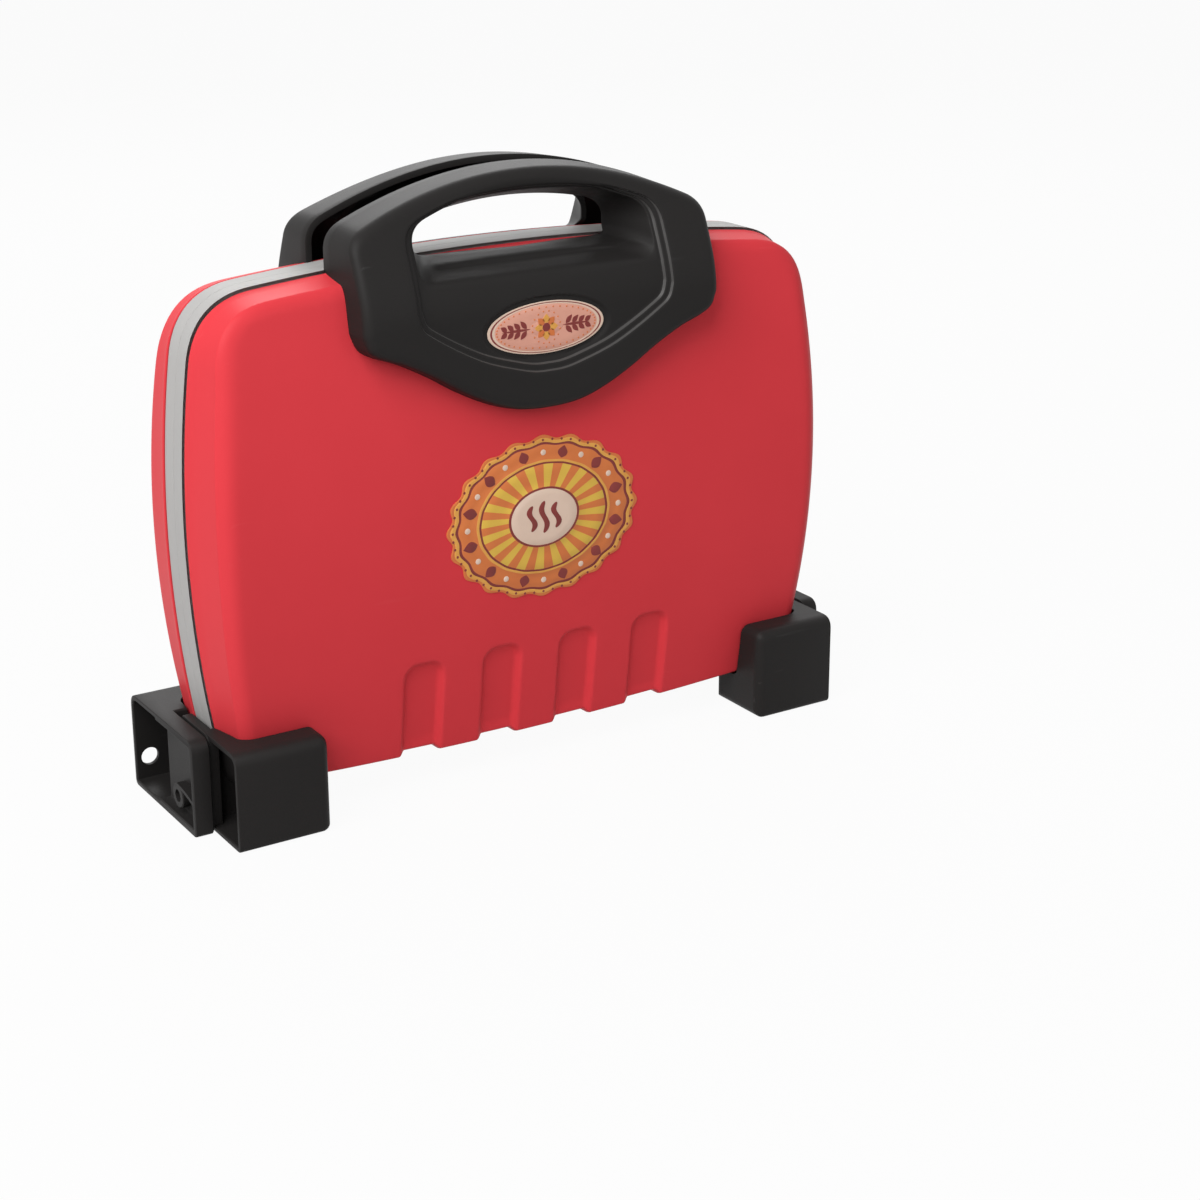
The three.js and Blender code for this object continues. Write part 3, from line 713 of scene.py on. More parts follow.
@dataclass(frozen=True)
class CaseOutline:
    """The rounded outline of the case or of the flat of its face, seen from the front."""

    bottom: float
    top: float
    half: float
    wide_z: float  # height at which it is widest
    foot_half: float  # half width at the bottom
    shoulder_half: float  # half width at the top
    shoulder_drop: float  # how much lower the top is there
    bottom_cut: float  # length of the rounding at the bottom corners
    top_cut: float
    sag: float  # of the bottom, in its middle

    def side(self, z: Points) -> Points:
        """Works out the half width, widest at wide_z.

        Args:
            z: Heights.

        Returns:
            The half width at each of them.
        """
        below, above = self.wide_z - self.bottom, self.top - self.shoulder_drop - self.wide_z
        low = (self.half - self.foot_half) * ((self.wide_z - z) / below) ** 2
        high = (self.half - self.shoulder_half) * ((z - self.wide_z) / above) ** 2
        return self.half - np.where(z < self.wide_z, low, high)

    def crown(self, x: Points) -> Points:
        """Height of the top edge at a distance from the middle."""
        return arch_height(x, self.top, self.shoulder_drop, self.shoulder_half)

    def belly(self, x: Points) -> Points:
        """Height of the bottom edge, which sags in the middle, at a distance from it."""
        return self.bottom - self.sag * (1 - (x / self.foot_half) ** 2)

    def quarter_curves(self) -> tuple[Points, Points, Points]:
        """The right halves of the bottom and the top, and the right side.

        Returns:
            The bottom from the middle to half way round its corner, the side from there to half
            way round the top corner, and the top from the middle outwards to there.
        """
        steps, shoulder_z = 24, self.top - self.shoulder_drop
        low_z, high_z = self.bottom + self.bottom_cut, shoulder_z - self.top_cut
        foot_x, top_x = self.foot_half - self.bottom_cut, self.shoulder_half - self.top_cut
        low = bend((foot_x, self.belly(foot_x)), (self.foot_half, self.bottom),
                   (self.side(low_z), low_z), 2 * steps)
        high = bend((self.side(high_z), high_z), (self.shoulder_half, shoulder_z),
                    (top_x, self.crown(top_x)), 2 * steps)
        z = np.linspace(low_z, high_z, 4 * steps)[1:-1]
        x = np.linspace(0.0, top_x, 4 * steps)[:-1]
        foot = np.linspace(0.0, foot_x, 4 * steps)[:-1]
        bottom = np.vstack([np.stack([foot, self.belly(foot)], 1), low[: steps + 1]])
        side = np.vstack([low[steps:], np.stack([self.side(z), z], 1), high[: steps + 1]])
        top = np.vstack([np.stack([x, self.crown(x)], 1), high[: steps - 1 : -1]])
        return bottom, side, top


@dataclass(frozen=True)
class Grid:
    """How the case's outlines are divided, so that rings and caps share their vertices."""

    across: Points  # places along the bottom and the top, in millimetres from the middle
    reach: float  # the part of them that doesn't stretch with the outline
    up: Points  # shares of the way up the sides

    @property
    def ring_size(self) -> int:
        """Vertices in a ring."""
        return 2 * (len(self.across) - 1) + 2 * (len(self.up) - 1)

    def _level(self, curve: Points) -> Points:
        """Divides a bottom or a top.

        Args:
            curve: Its right half, from the middle outwards.

        Returns:
            The points, from left to right.
        """
        length = arc_lengths(curve)[-1]
        places = np.abs(self.across)
        end = places.max()
        stretch = self.reach + (places - self.reach) * (length - self.reach) / (end - self.reach)
        right = sample(curve, np.where(places <= self.reach, places, stretch))
        right[:, 0] *= np.where(self.across < 0, -1.0, 1.0)
        return right

    def ring(self, outline: CaseOutline) -> Points:
        """Divides an outline.

        Args:
            outline: The outline.

        Returns:
            Its closed loop, anticlockwise from the bottom left corner.
        """
        bottom, side, top = outline.quarter_curves()
        right = sample(side, self.up * arc_lengths(side)[-1])
        left = right * np.array([-1.0, 1.0])
        return np.vstack([
            self._level(bottom)[:-1], right[:-1], self._level(top)[:0:-1], left[:0:-1]])

    def sides(self, ring: Points) -> tuple[Points, ...]:
        """Splits a ring, or its indices, at its corners.

        Args:
            ring: One row for each of its points.

        Returns:
            The bottom, the right side, the top and the left side, from the left or from below.
        """
        wide, tall = len(self.across), len(self.up)
        closed = np.concatenate([ring, ring[:1]])
        return (closed[:wide], closed[wide - 1 : wide + tall - 1],
                closed[wide + tall - 2 : 2 * wide + tall - 2][::-1],
                closed[2 * wide + tall - 3 :][::-1])

    def close(self, skin: Skin, first: int, ring: Points, depth: Depth) -> None:
        """Closes a ring with a patch that bulges with the ring's sides.

        Args:
            skin: Skin that holds the ring.
            first: Index of the ring's first vertex.
            ring: The ring's points, in the plane of the outline.
            depth: Depth of the patch, or what gives it at each height.
        """
        bottom, right, top, left = self.sides(ring)
        v = self.up[:, None]
        right_bulge = right - mix(right[0], right[-1], v)
        left_bulge = left - mix(left[0], left[-1], v)
        end = np.abs(self.across).max()
        share = smooth((np.abs(self.across) - self.reach) / (end - self.reach))
        side = self.across[None, :, None]
        bulge = np.where(side > 0, right_bulge[:, None, :], left_bulge[:, None, :])
        patch = mix(bottom[None], top[None], v[:, :, None]) + bulge * share[None, :, None]
        tall, wide = patch.shape[:2]
        inner = patch[1:-1, 1:-1].reshape(-1, 2)
        start = skin.add(lift(inner, depth_at(depth, inner[:, 1])))
        index = np.zeros((tall, wide), int)
        index[1:-1, 1:-1] = start + np.arange(len(inner)).reshape(tall - 2, wide - 2)
        order = first + np.arange(self.ring_size)
        index[0], index[:, -1], index[-1], index[:, 0] = self.sides(order)
        quads = np.stack([index[:-1, :-1], index[:-1, 1:], index[1:, 1:], index[1:, :-1]], -1)
        skin.faces.extend(tuple(int(i) for i in quad) for quad in quads.reshape(-1, 4))
        skin.paints.extend([0] * ((tall - 1) * (wide - 1)))


@dataclass(frozen=True)
class Case:
    """The sizes that the shells, the trays, the handles and the feet share."""

    bottom: float = 15.0
    top: float = 198.0
    rim_top: float = 199.0
    sag: float = 4.0
    crown_depth: float = 30.3
    top_depth: float = 20.8
    foot_depth: float = 22.6
    flute_pitch: float = 33.0
    flute_half: float = 8.9
    flute_height: float = 36.8
    flute_round: float = 6.5
    flute_depth: float = 2.3
    flute_slope: float = 2.9
    flute_end: float = 12.2
    flute_fade: float = 2.6
    flute_count: int = 4
    basin_inset: float = 12.5
    screw_x: float = 100.0
    screw_low: float = 60.0
    screw_high: float = 150.0

    @property
    def rim(self) -> CaseOutline:
        """The outline of the grey rim."""
        return CaseOutline(
            self.bottom, self.rim_top, half=131.5, wide_z=110.0, foot_half=121.3,
            shoulder_half=123.8, shoulder_drop=8.0, bottom_cut=6.0, top_cut=20.5, sag=self.sag)

    @property
    def face(self) -> CaseOutline:
        """The outline of the flat of a face."""
        return CaseOutline(
            self.bottom + 2.6, self.rim_top - 9.4, half=120.2, wide_z=98.0, foot_half=112.0,
            shoulder_half=113.4, shoulder_drop=5.3, bottom_cut=5.0, top_cut=11.5, sag=self.sag)

    @property
    def basin(self) -> CaseOutline:
        """The outline of a basin's floor."""
        inset = self.basin_inset
        return CaseOutline(
            self.bottom + inset, self.rim_top - inset, half=119.0, wide_z=110.0, foot_half=109.5,
            shoulder_half=111.4, shoulder_drop=6.8, bottom_cut=9.0, top_cut=16.0, sag=self.sag)

    @property
    def middle(self) -> float:
        """Height of the crown of the faces."""
        return (self.bottom + self.top) / 2

    def face_depth(self, z: Points, out: float = 0.0) -> Points:
        """Works out how deep a face lies.

        Args:
            z: Heights.
            out: How far the face is moved outwards.

        Returns:
            The depth at each height.
        """
        share = (z - self.middle) / (self.top - self.middle)
        edge = np.where(z < self.middle, self.foot_depth, self.top_depth)
        return self.crown_depth - (self.crown_depth - edge) * share**2 + out

    def grid(self) -> Grid:
        """Divides the outlines, closely where the flutes have their slopes.

        Returns:
            The division.
        """
        reach, fine, middling, coarse = FLUTED_REACH, 0.55, 2.2, 2.6
        slopes = [
            side * self.flute_half + (i - (self.flute_count - 1) / 2) * self.flute_pitch
            for i in range(self.flute_count)
            for side in (-1, 1)
        ]
        across = [-reach]
        while across[-1] < reach:
            nearest = min(abs(across[-1] - x) for x in slopes)
            far = float(smooth((nearest - 3.0) / 6.0))
            across.append(across[-1] + mix(fine, middling, far))
        across = np.array(across) * reach / across[-1]
        across = (across - across[::-1]) / 2
        end = self.rim.foot_half
        outer = np.linspace(reach, end, int((end - reach) / coarse))[1:]
        height = self.top - self.bottom
        up = [0.0]
        while up[-1] < 1.0:
            z = self.bottom + up[-1] * height
            nearest = abs(z - self.bottom - self.flute_height + self.flute_slope)
            far = float(smooth((nearest - 4.0) / 8.0))
            up.append(up[-1] + mix(0.6, 2.4, far) / height)
        up = np.array(up) / up[-1]
        return Grid(np.concatenate([-outer[::-1], across, outer]), reach, up)


def coarse_grid(case: Case) -> Grid:
    """A plain division of the outlines, close at the corners, for the solids that cut."""
    across = case.rim.foot_half * np.sin(np.linspace(-math.pi / 2, math.pi / 2, 61))
    return Grid(across, FLUTED_REACH, (1 - np.cos(np.linspace(0.0, math.pi, 49))) / 2)


@dataclass(frozen=True)
class Wall:
    """How the wall of a half shell runs from its edge to its face."""

    start: float  # depth of the edge
    proud: float  # how far the edge stands outside the grey rim
    top_sink: float  # how much lower it is at the top
    draft: float  # share of the way in to the flat of the face where the wall ends
    top_draft: float
    reach: float  # share of the depth where the wall ends
    crease: float  # turn between the wall and its rounding, as a share of the way in
    crease_loss: float = 0.6  # share of the crease that is lost at the top
    curve: float = 0.78  # power of the wall's way in
    top_start: float = 34.0  # distance below the top at which its values set in
    top_length: float = 26.0  # height over which they do
    steps: tuple[float, ...] = (0.1, 0.33, 0.66, 0.96, 1.0)
    round_steps: tuple[float, ...] = (0.03, *np.linspace(0.0, 1.0, 15)[1:])


WALLS = {  # the front edge is set in a little from the grey rim
    Half.BACK: Wall(start=8.0, proud=0.5, top_sink=0.6, draft=0.1, top_draft=0.2, reach=0.6,
                    crease=0.0),
    Half.FRONT: Wall(start=8.3, proud=-0.45, top_sink=0.45, draft=0.34, top_draft=0.27,
                     reach=0.84, crease=0.14),
}


@dataclass
class Shell:
    """A red half shell with its flutes."""

    case: Case
    grid: Grid
    wall: Wall
    lip: float = 0.5

    def rings(self, out: float, start: float | None = None) -> tuple[list[Points], Points]:
        """The rings of the skin from its edge to the flat of the face.

        Args:
            out: Distance that the skin is moved outwards.
            start: Depth at which a plain skin starts. Left out, the skin has its rounded lip.

        Returns:
            The rings, and the last one's points in the plane of the outline.
        """
        case = self.case
        wall = self.wall
        rim = offset(self.grid.ring(case.rim), wall.proud + out)
        near_top = smooth((rim[:, 1] - case.top + wall.top_start) / wall.top_length)
        rim[:, 1] -= wall.top_sink * near_top
        edge = mix(wall.draft, wall.top_draft, near_top)[:, None]
        face = offset(self.grid.ring(case.face), out / 2)
        rings = []
        if start is None:
            for angle in np.linspace(0.0, math.pi / 2, 4):
                inward = self.lip * (1 - math.sin(angle))
                rise = self.lip * (1 - math.cos(angle))
                rings.append(lift(offset(rim, -inward), wall.start + rise))
        else:
            rings.append(lift(rim, start))
        shares = [(edge * s**wall.curve, wall.reach * s) for s in wall.steps]
        turn = 4 / 3 * math.tan(math.pi / 8)  # length of the handles of a quarter turn
        rise = turn * (1 - wall.reach)
        crease = wall.crease * (1 - wall.crease_loss * near_top)[:, None]
        first = edge * (1 + rise / wall.reach) + crease
        inwards = (edge, first, 1 - turn * (1 - edge), 1.0)
        depths = (wall.reach, wall.reach + rise, 1.0, 1.0)
        for t in wall.round_steps:
            weights = ((1 - t) ** 3, 3 * t * (1 - t) ** 2, 3 * t**2 * (1 - t), t**3)
            inward = sum(weight * value for weight, value in zip(weights, inwards))
            shares.append((inward, sum(weight * value for weight, value in zip(weights, depths))))
        for inward, deep in shares:
            loop = mix(rim, face, inward)
            depth = mix(wall.start, case.face_depth(loop[:, 1], out), deep)
            rings.append(lift(loop, depth))
        return rings, face

    def flute_steps(self, points: Points) -> Points:
        """The moves that press the flutes into the skin.

        Args:
            points: The points, on the outer side of the skin.

        Returns:
            The move of each of them: inwards, and upwards too where the flute runs out below.
        """
        case = self.case
        x, z = np.abs(points[:, 0]), points[:, 2]
        inner = case.flute_pitch / 2
        centre = np.where(x < case.flute_pitch, inner, inner + case.flute_pitch)
        qx = np.abs(x - centre) - (case.flute_half - case.flute_round)
        qz = z - (case.bottom + case.flute_height - case.flute_round)
        outside = np.hypot(np.maximum(qx, 0), np.maximum(qz, 0)) + np.minimum(np.maximum(qx, qz), 0)
        inside = smooth((case.flute_round - outside) / case.flute_slope)
        fade = smooth((points[:, 1] - case.flute_end) / case.flute_fade)
        move = inside * fade * (z < case.middle) * case.flute_depth
        lean = smooth((z - case.rim.belly(points[:, 0]) - 3.0) / 5.0)
        down = mix(math.radians(52), math.radians(4), lean)
        return np.stack([np.zeros(len(points)), -np.cos(down) * move, np.sin(down) * move], 1)

    def solid(self, out: float) -> Skin:
        """A plain closed solid of the skin, for what rests on the shell or is cut to it.

        Args:
            out: Distance that the skin is moved outwards.

        Returns:
            The solid's skin.
        """
        skin = Skin()
        rings, face = self.rings(out, start=-OVERRUN)
        starts = skin.loft(rings)
        self.grid.close(skin, starts[-1], face, partial(self.case.face_depth, out=out))
        self.grid.close(skin, starts[0], rings[0][:, [0, 2]], -OVERRUN)
        return skin

    def build(self, half: Half, finishes: Finishes) -> None:
        """Builds the shell of a half, whose inner side has the flutes too, and dresses it.

        Args:
            half: The half.
            finishes: The materials.
        """
        skin = Skin()
        edges = []
        for out in (0.0, -WALL):
            rings, face = self.rings(out)
            starts = skin.loft(rings)
            edges.append(starts[0])
            self.grid.close(skin, starts[-1], face, partial(self.case.face_depth, out=out))
            if out == 0.0:
                moves = self.flute_steps(np.vstack(skin.points))
        skin.points = [np.vstack(skin.points) + np.vstack([moves, moves])]
        skin.join(*edges, self.grid.ring_size)
        mesh = skin.mesh(f"{half.prefix}_red_shell", half.sign)
        settle(mesh, half, "red_plastic", [finishes.red], f"{half.prefix}_shell")


@dataclass
class Tray:
    """A grey tray: the rim that shows between the halves, and a basin with griddle ridges."""

    case: Case
    grid: Grid
    seam: float = 0.06
    floor: float = 14.0
    back: float = 16.0
    ridge_pitch: float = 10.4
    ridge_radius: float = 2.0
    ridge_centre: float = 13.8
    ridge_end: float = 8.0
    ridge_count: int = 21
    land: float = 7.6

    def profile(self) -> list[Points]:
        """The section from the basin's floor round the rim to the back of the floor.

        Returns:
            The inset from the rim and the depth of each point.
        """
        seam, floor, back = self.seam, self.floor, self.back
        basin = self.case.basin_inset
        corners = [
            (basin, floor, 0.0), (10.6, floor, 2.0), (10.1, seam, 0.7), (0.0, seam, 0.1),
            (0.0, 7.5, 0.3), (1.3, 4.4, 0.3), (4.6, 4.4, 0.3), (4.7, 10.3, 0.4),
            (6.1, 10.3, 0.4), (6.1, 2.2, 0.5), (8.0, 2.2, 0.5), (8.5, back, 1.8),
            (basin, back, 0.0),
        ]
        points = []
        for i, (inset, depth, radius) in enumerate(corners):
            corner = np.array([inset, depth])
            if radius == 0.0:
                points.append(corner)
                continue
            ways = [np.array(corners[i + k][:2]) - corner for k in (-1, 1)]
            ends = [corner + way / np.linalg.norm(way) * radius for way in ways]
            points.extend(bend(ends[0], corner, ends[1], 4))
        return points

    def build(self, half: Half, finishes: Finishes) -> None:
        """Builds the tray of a half with its ridges and dresses them.

        Args:
            half: The half.
            finishes: The materials.
        """
        rim, basin = self.grid.ring(self.case.rim), self.grid.ring(self.case.basin)
        skin = Skin()
        starts = skin.loft([
            lift(mix(rim, basin, inset / self.case.basin_inset), depth)
            for inset, depth in self.profile()
        ])
        self.grid.close(skin, starts[0], basin, self.floor)
        self.grid.close(skin, starts[-1], basin, self.back)
        mesh = skin.mesh(f"{half.prefix}_grey_tray", half.sign)
        settle(mesh, half, "grey_plastic", [finishes.grey], f"{half.prefix}_tray")
        self.build_ridges(half, basin, finishes)

    def ridge_lines(self, basin: Points) -> list[Points]:
        """The middles of the ridges, which stop at the walls and round the screws.

        Args:
            basin: The outline of the basin's floor.

        Returns:
            The two ends of each ridge.
        """
        case = self.case
        lines = []
        for i in range(self.ridge_count):
            x = (i - (self.ridge_count - 1) / 2) * self.ridge_pitch
            near = basin[np.argsort(np.abs(basin[:, 0] - x))[:8]]
            low = near[:, 1].min() + self.ridge_end
            high = near[:, 1].max() - self.ridge_end
            away = abs(abs(x) - case.screw_x)
            stops = [low]
            if away < self.land:
                clear = math.sqrt(self.land**2 - away**2)
                for z in (case.screw_low, case.screw_high):
                    stops.extend([z - clear, z + clear])
            stops.append(high)
            for a, b in zip(stops[::2], stops[1::2]):
                lines.append(np.array([(x, self.ridge_centre, a), (x, self.ridge_centre, b)]))
        return lines

    def build_ridges(self, half: Half, basin: Points, finishes: Finishes) -> None:
        """Builds the griddle ridges as round bars with rounded ends, laid along lines.

        Args:
            half: The half.
            basin: The outline of the basin's floor.
            finishes: The materials.
        """
        lines = self.ridge_lines(basin)
        edges = [(2 * i, 2 * i + 1) for i in range(len(lines))]
        values = {"Radius": self.ridge_radius * METRE, "Finish": finishes.grey}
        name = f"{half.prefix}_griddle_ridges"
        settle(RidgeTree.run(np.vstack(lines), half, values, name, edges), half, "grey_plastic")


class RidgeTree(RepeatTree):
    """Round bars along the edges of a mesh, drawn in at their ends like a capsule."""

    name = "ridge_bars"
    inputs = {"Radius": "Float"}

    @staticmethod
    def shape(made: Tree, start: NodeOutputs) -> Node:
        """Adds the bars, whose places along the line are eased towards its ends.

        Args:
            made: The tree.
            start: The group's inputs.

        Returns:
            The node that makes the bars.
        """
        radius = start["Radius"]
        curve = made.add("GeometryNodeMeshToCurve", inputs={"Mesh": start["Geometry"]})
        length = made.add("GeometryNodeSplineLength")
        fine = made.add("GeometryNodeResampleCurve", inputs={"Curve": curve, "Count": 40})
        place = made.add("GeometryNodeSplineParameter")
        half_turn = made.math("COSINE", made.math("MULTIPLY", place, math.pi))
        eased = made.math("MULTIPLY_ADD", half_turn, -0.5, 0.5)
        shift = made.math("MULTIPLY", made.math("SUBTRACT", eased, place), length)
        drawn = made.add(
            "GeometryNodeSetPosition", inputs={"Geometry": fine, "Offset": made.vector(Z=shift)})
        from_start = made.math("MULTIPLY", eased, length)
        from_end = made.math("SUBTRACT", length, from_start)
        near = made.math("DIVIDE", made.math("MINIMUM", from_start, from_end), radius, clamp=True)
        back = made.math("SUBTRACT", 1.0, near)
        width = made.math("SQRT", made.math("SUBTRACT", 1.02, made.math("MULTIPLY", back, back)))
        sized = made.add("GeometryNodeSetCurveRadius", inputs={"Curve": drawn, "Radius": width})
        section = made.add(
            "GeometryNodeCurvePrimitiveCircle", inputs={"Resolution": 20, "Radius": radius})
        return made.add("GeometryNodeCurveToMesh", inputs={
            "Curve": sized, "Profile Curve": section, "Fill Caps": True})


class Rest:
    """The surface of a shell that its handle rests on."""

    far = 100.0  # depth from which it is looked up

    def __init__(self, shell: Shell) -> None:
        """Builds the search tree of a shell's skin.

        Args:
            shell: The shell.
        """
        skin = shell.solid(0.0)
        points = [Vector(point) for point in np.vstack(skin.points)]
        self.tree = BVHTree.FromPolygons(points, skin.faces)

    def __call__(self, loop: Points) -> Points:
        """Looks up its depth.

        Args:
            loop: Points of the outline's plane.

        Returns:
            The depth at each of them.
        """
        back = Vector((0.0, -1.0, 0.0))
        hits = [self.tree.ray_cast(Vector((x, self.far, z)), back)[0] for x, z in loop]
        return np.array([-self.far if hit is None else hit.y for hit in hits])


@dataclass(frozen=True)
class Arched:
    """A closed outline with a shaped lower edge, upright sides and an arched top."""

    half: float
    bottom: float
    knee: float  # height at which the lower edge turns into the side
    top: float
    drop: float  # how far the arch has fallen at the half width
    cut: float  # length of the rounding at the shoulders
    lower_shares: tuple[Place, ...]  # of the half width, and of the rise to the knee

    def loop(self) -> Points:
        """Draws the outline.

        Returns:
            Its points.
        """
        half, shoulder, inner = self.half, self.top - self.drop, self.half - self.cut
        lower = np.array([(half * x, mix(self.bottom, self.knee, z)) for x, z in self.lower_shares])
        mirrored = lower[0] * np.array([-1.0, 1.0])
        lower = spline(np.vstack([mirrored, lower]), 30)[15:]
        inner_z = arch_height(inner, self.top, self.drop, half)
        corner = bend((half, shoulder - self.cut), (half, shoulder), (inner, inner_z), 40)
        side = np.stack([np.full(30, half), np.linspace(lower[-1, 1], corner[0, 1], 31)[1:]], 1)
        x = np.linspace(inner, 0.0, 80)[1:-1]
        crown = np.stack([x, arch_height(x, self.top, self.drop, half)], 1)
        return mirror_half(np.vstack([lower, side[:-1], corner, crown]))


@dataclass(frozen=True)
class Gap:
    """The outline of the finger gap at one depth."""

    half: float
    bottom: float
    top: float
    low: float  # length of the rounding at the lower corners
    high: float  # length of the rounding at the upper corners
    drop: float = 5.5  # how far the arch has fallen at the half width

    def arch(self, x: Amount) -> Amount:
        """Height of its arch at a distance from the middle."""
        return arch_height(x, self.top, self.drop, self.half)

    def loop(self) -> Points:
        """Draws the outline.

        Returns:
            Its points.
        """
        half, bottom, low, high = self.half, self.bottom, self.low, self.high
        x = np.linspace(half - high, 0.0, 60)[1:-1]
        corner = self.arch(half)
        return mirror_half(np.vstack([
            np.stack([np.linspace(0.5, half - low, 30), np.full(30, bottom)], 1)[:-1],
            bend((half - low, bottom), (half, bottom), (half, bottom + low), 20),
            bend((half, corner - high * 0.7), (half, corner),
                 (half - high, self.arch(half - high)), 40),
            np.stack([x, self.arch(x)], 1),
        ]))


@dataclass
class Handle:
    """A black carrying handle: a moulded ring with a recessed panel, hollow at its rear.

    The handle is drawn as loops round the middle of its finger gap, one point for each direction.
    """

    case: Case
    half_width: float = 74.3
    rise: float = 30.0
    hang: float = 56.5
    knee_drop: float = 23.0
    arch_drop: float = 18.4
    shoulder_cut: float = 6.6
    rear: float = 6.9
    sill_rear: float = 9.4
    base_depth: float = 37.0
    grip_depth: float = 22.0
    lean: float = 50.0
    draft: float = 0.7
    rounding: float = 3.6
    soft: float = 0.35
    wall: float = 2.4
    field_half: float = 53.0
    field_rise: float = 15.0
    field_drop: float = 5.3
    field_arch: float = 11.8
    field_knee: float = 17.5
    field_cut: float = 7.0
    recess: float = 3.0
    centre_rise: float = 7.0  # from the top of the case to the middle of the loops
    directions: int = 540  # points in each loop
    label_rise: float = 30.1
    label_half: Place = (26.3, 11.4)
    label_recess: float = 1.0
    # the steps of the field's border that are painted lighter, as a painted highlight
    painted_highlight_strips: tuple[int, ...] = (2, 3, 9, 10)  # steps of the field's border that shine

    @property
    def top(self) -> float:
        """Height of the top of the arch."""
        return self.case.top + self.rise

    @property
    def bottom(self) -> float:
        """Height of the lower edge."""
        return self.case.top - self.hang

    @property
    def centre(self) -> float:
        """Height of the middle of the loops."""
        return self.case.top + self.centre_rise

    def front(self, z: Points) -> Points:
        """Depth of the front at a height: it leans back towards the top."""
        return mix(self.grip_depth, self.base_depth, smooth((self.top - z) / self.lean))

    @cached_property
    def outline(self) -> Points:
        """Draws the outer outline.

        Returns:
            Its points.
        """
        return Arched(
            self.half_width, self.bottom, self.case.top - self.knee_drop, self.top,
            self.arch_drop, self.shoulder_cut,
            ((0.07, 0), (0.2, 0.04), (0.34, 0.15), (0.49, 0.32), (0.63, 0.51), (0.78, 0.68),
             (0.9, 0.78), (0.968, 0.88), (1.0, 1.05)),
        ).loop()

    @property
    def border(self) -> Points:
        """Draws the outline of the recessed field.

        Returns:
            Its points.
        """
        return Arched(
            self.field_half, self.bottom + self.field_rise, self.case.top - self.field_knee,
            self.top - self.field_drop, self.field_arch, self.field_cut,
            ((0.1, 0), (0.28, 0.09), (0.5, 0.25), (0.7, 0.47), (0.88, 0.71), (0.965, 0.86),
             (1.0, 1.08)),
        ).loop()

    @property
    def front_gap(self) -> Gap:
        """The finger gap at the front."""
        return Gap(49.0, self.case.top - 6.6, self.top - 8.6, low=5.0, high=9.0)

    @property
    def rear_gap(self) -> Gap:
        """The finger gap at the rear."""
        return Gap(40.0, self.case.top - 0.4, self.top - 12.6, low=4.0, high=9.0)

    def polar(self, loop: Points) -> Points:
        """Measures a loop.

        Args:
            loop: The loop's points.

        Returns:
            The distance from the middle to it in each direction.
        """
        away = loop - np.array([0.0, self.centre])
        angle = np.unwrap(np.arctan2(away[:, 1], away[:, 0]))
        order = np.argsort(angle)
        return np.interp(self.angles, angle[order], np.hypot(*away.T)[order], period=2 * math.pi)

    def edge(self, inward: float) -> Points:
        """Distance from the middle to the outline, moved inwards, in each direction."""
        return self.polar(offset(self.outline, -inward))

    @property
    def angles(self) -> Points:
        """The directions of the loops' points."""
        return np.linspace(0.0, 2 * math.pi, self.directions, endpoint=False) + 1e-4

    def at(self, radius: Points) -> Points:
        """The loop at a distance in each direction."""
        across, up = radius * np.cos(self.angles), radius * np.sin(self.angles)
        return np.stack([across, self.centre + up], 1)

    def seat(self, loop: Points) -> Points:
        """Works out how deep the label's seat is pressed in.

        Args:
            loop: Points of the front.

        Returns:
            The depth of the seat at each of them.
        """
        away = (loop - np.array([0.0, self.bottom + self.label_rise])) / np.array(self.label_half)
        inside = (1.0 - np.hypot(*away.T)) * self.label_half[1]
        return self.label_recess * smooth(inside / 0.7 + 0.5)

    def build(self, half: Half, rest: Rest, finishes: Finishes) -> None:
        """Builds the handle of a half and dresses it.

        Args:
            half: The half.
            rest: The surface that the handle rests on.
            finishes: The materials.
        """
        rings = HandleRings(self, rest)
        rings.build()
        skin = Skin()
        starts = skin.loft(rings.rings)
        skin.join(starts[-1], starts[0], self.directions)
        # Painted highlight: the border strips below the arch take the lighter black material
        stepped = (np.sin(self.angles) < 0.3).astype(int).tolist()
        for strip in self.painted_highlight_strips:
            first = (rings.border_start + strip) * self.directions
            skin.paints[first : first + self.directions] = stepped
        mesh = skin.mesh(f"{half.prefix}_carrying_handle", half.sign)
        materials = [finishes.black, finishes.painted_highlight_black]
        settle(mesh, half, "black_plastic", materials, f"{half.prefix}_handle")


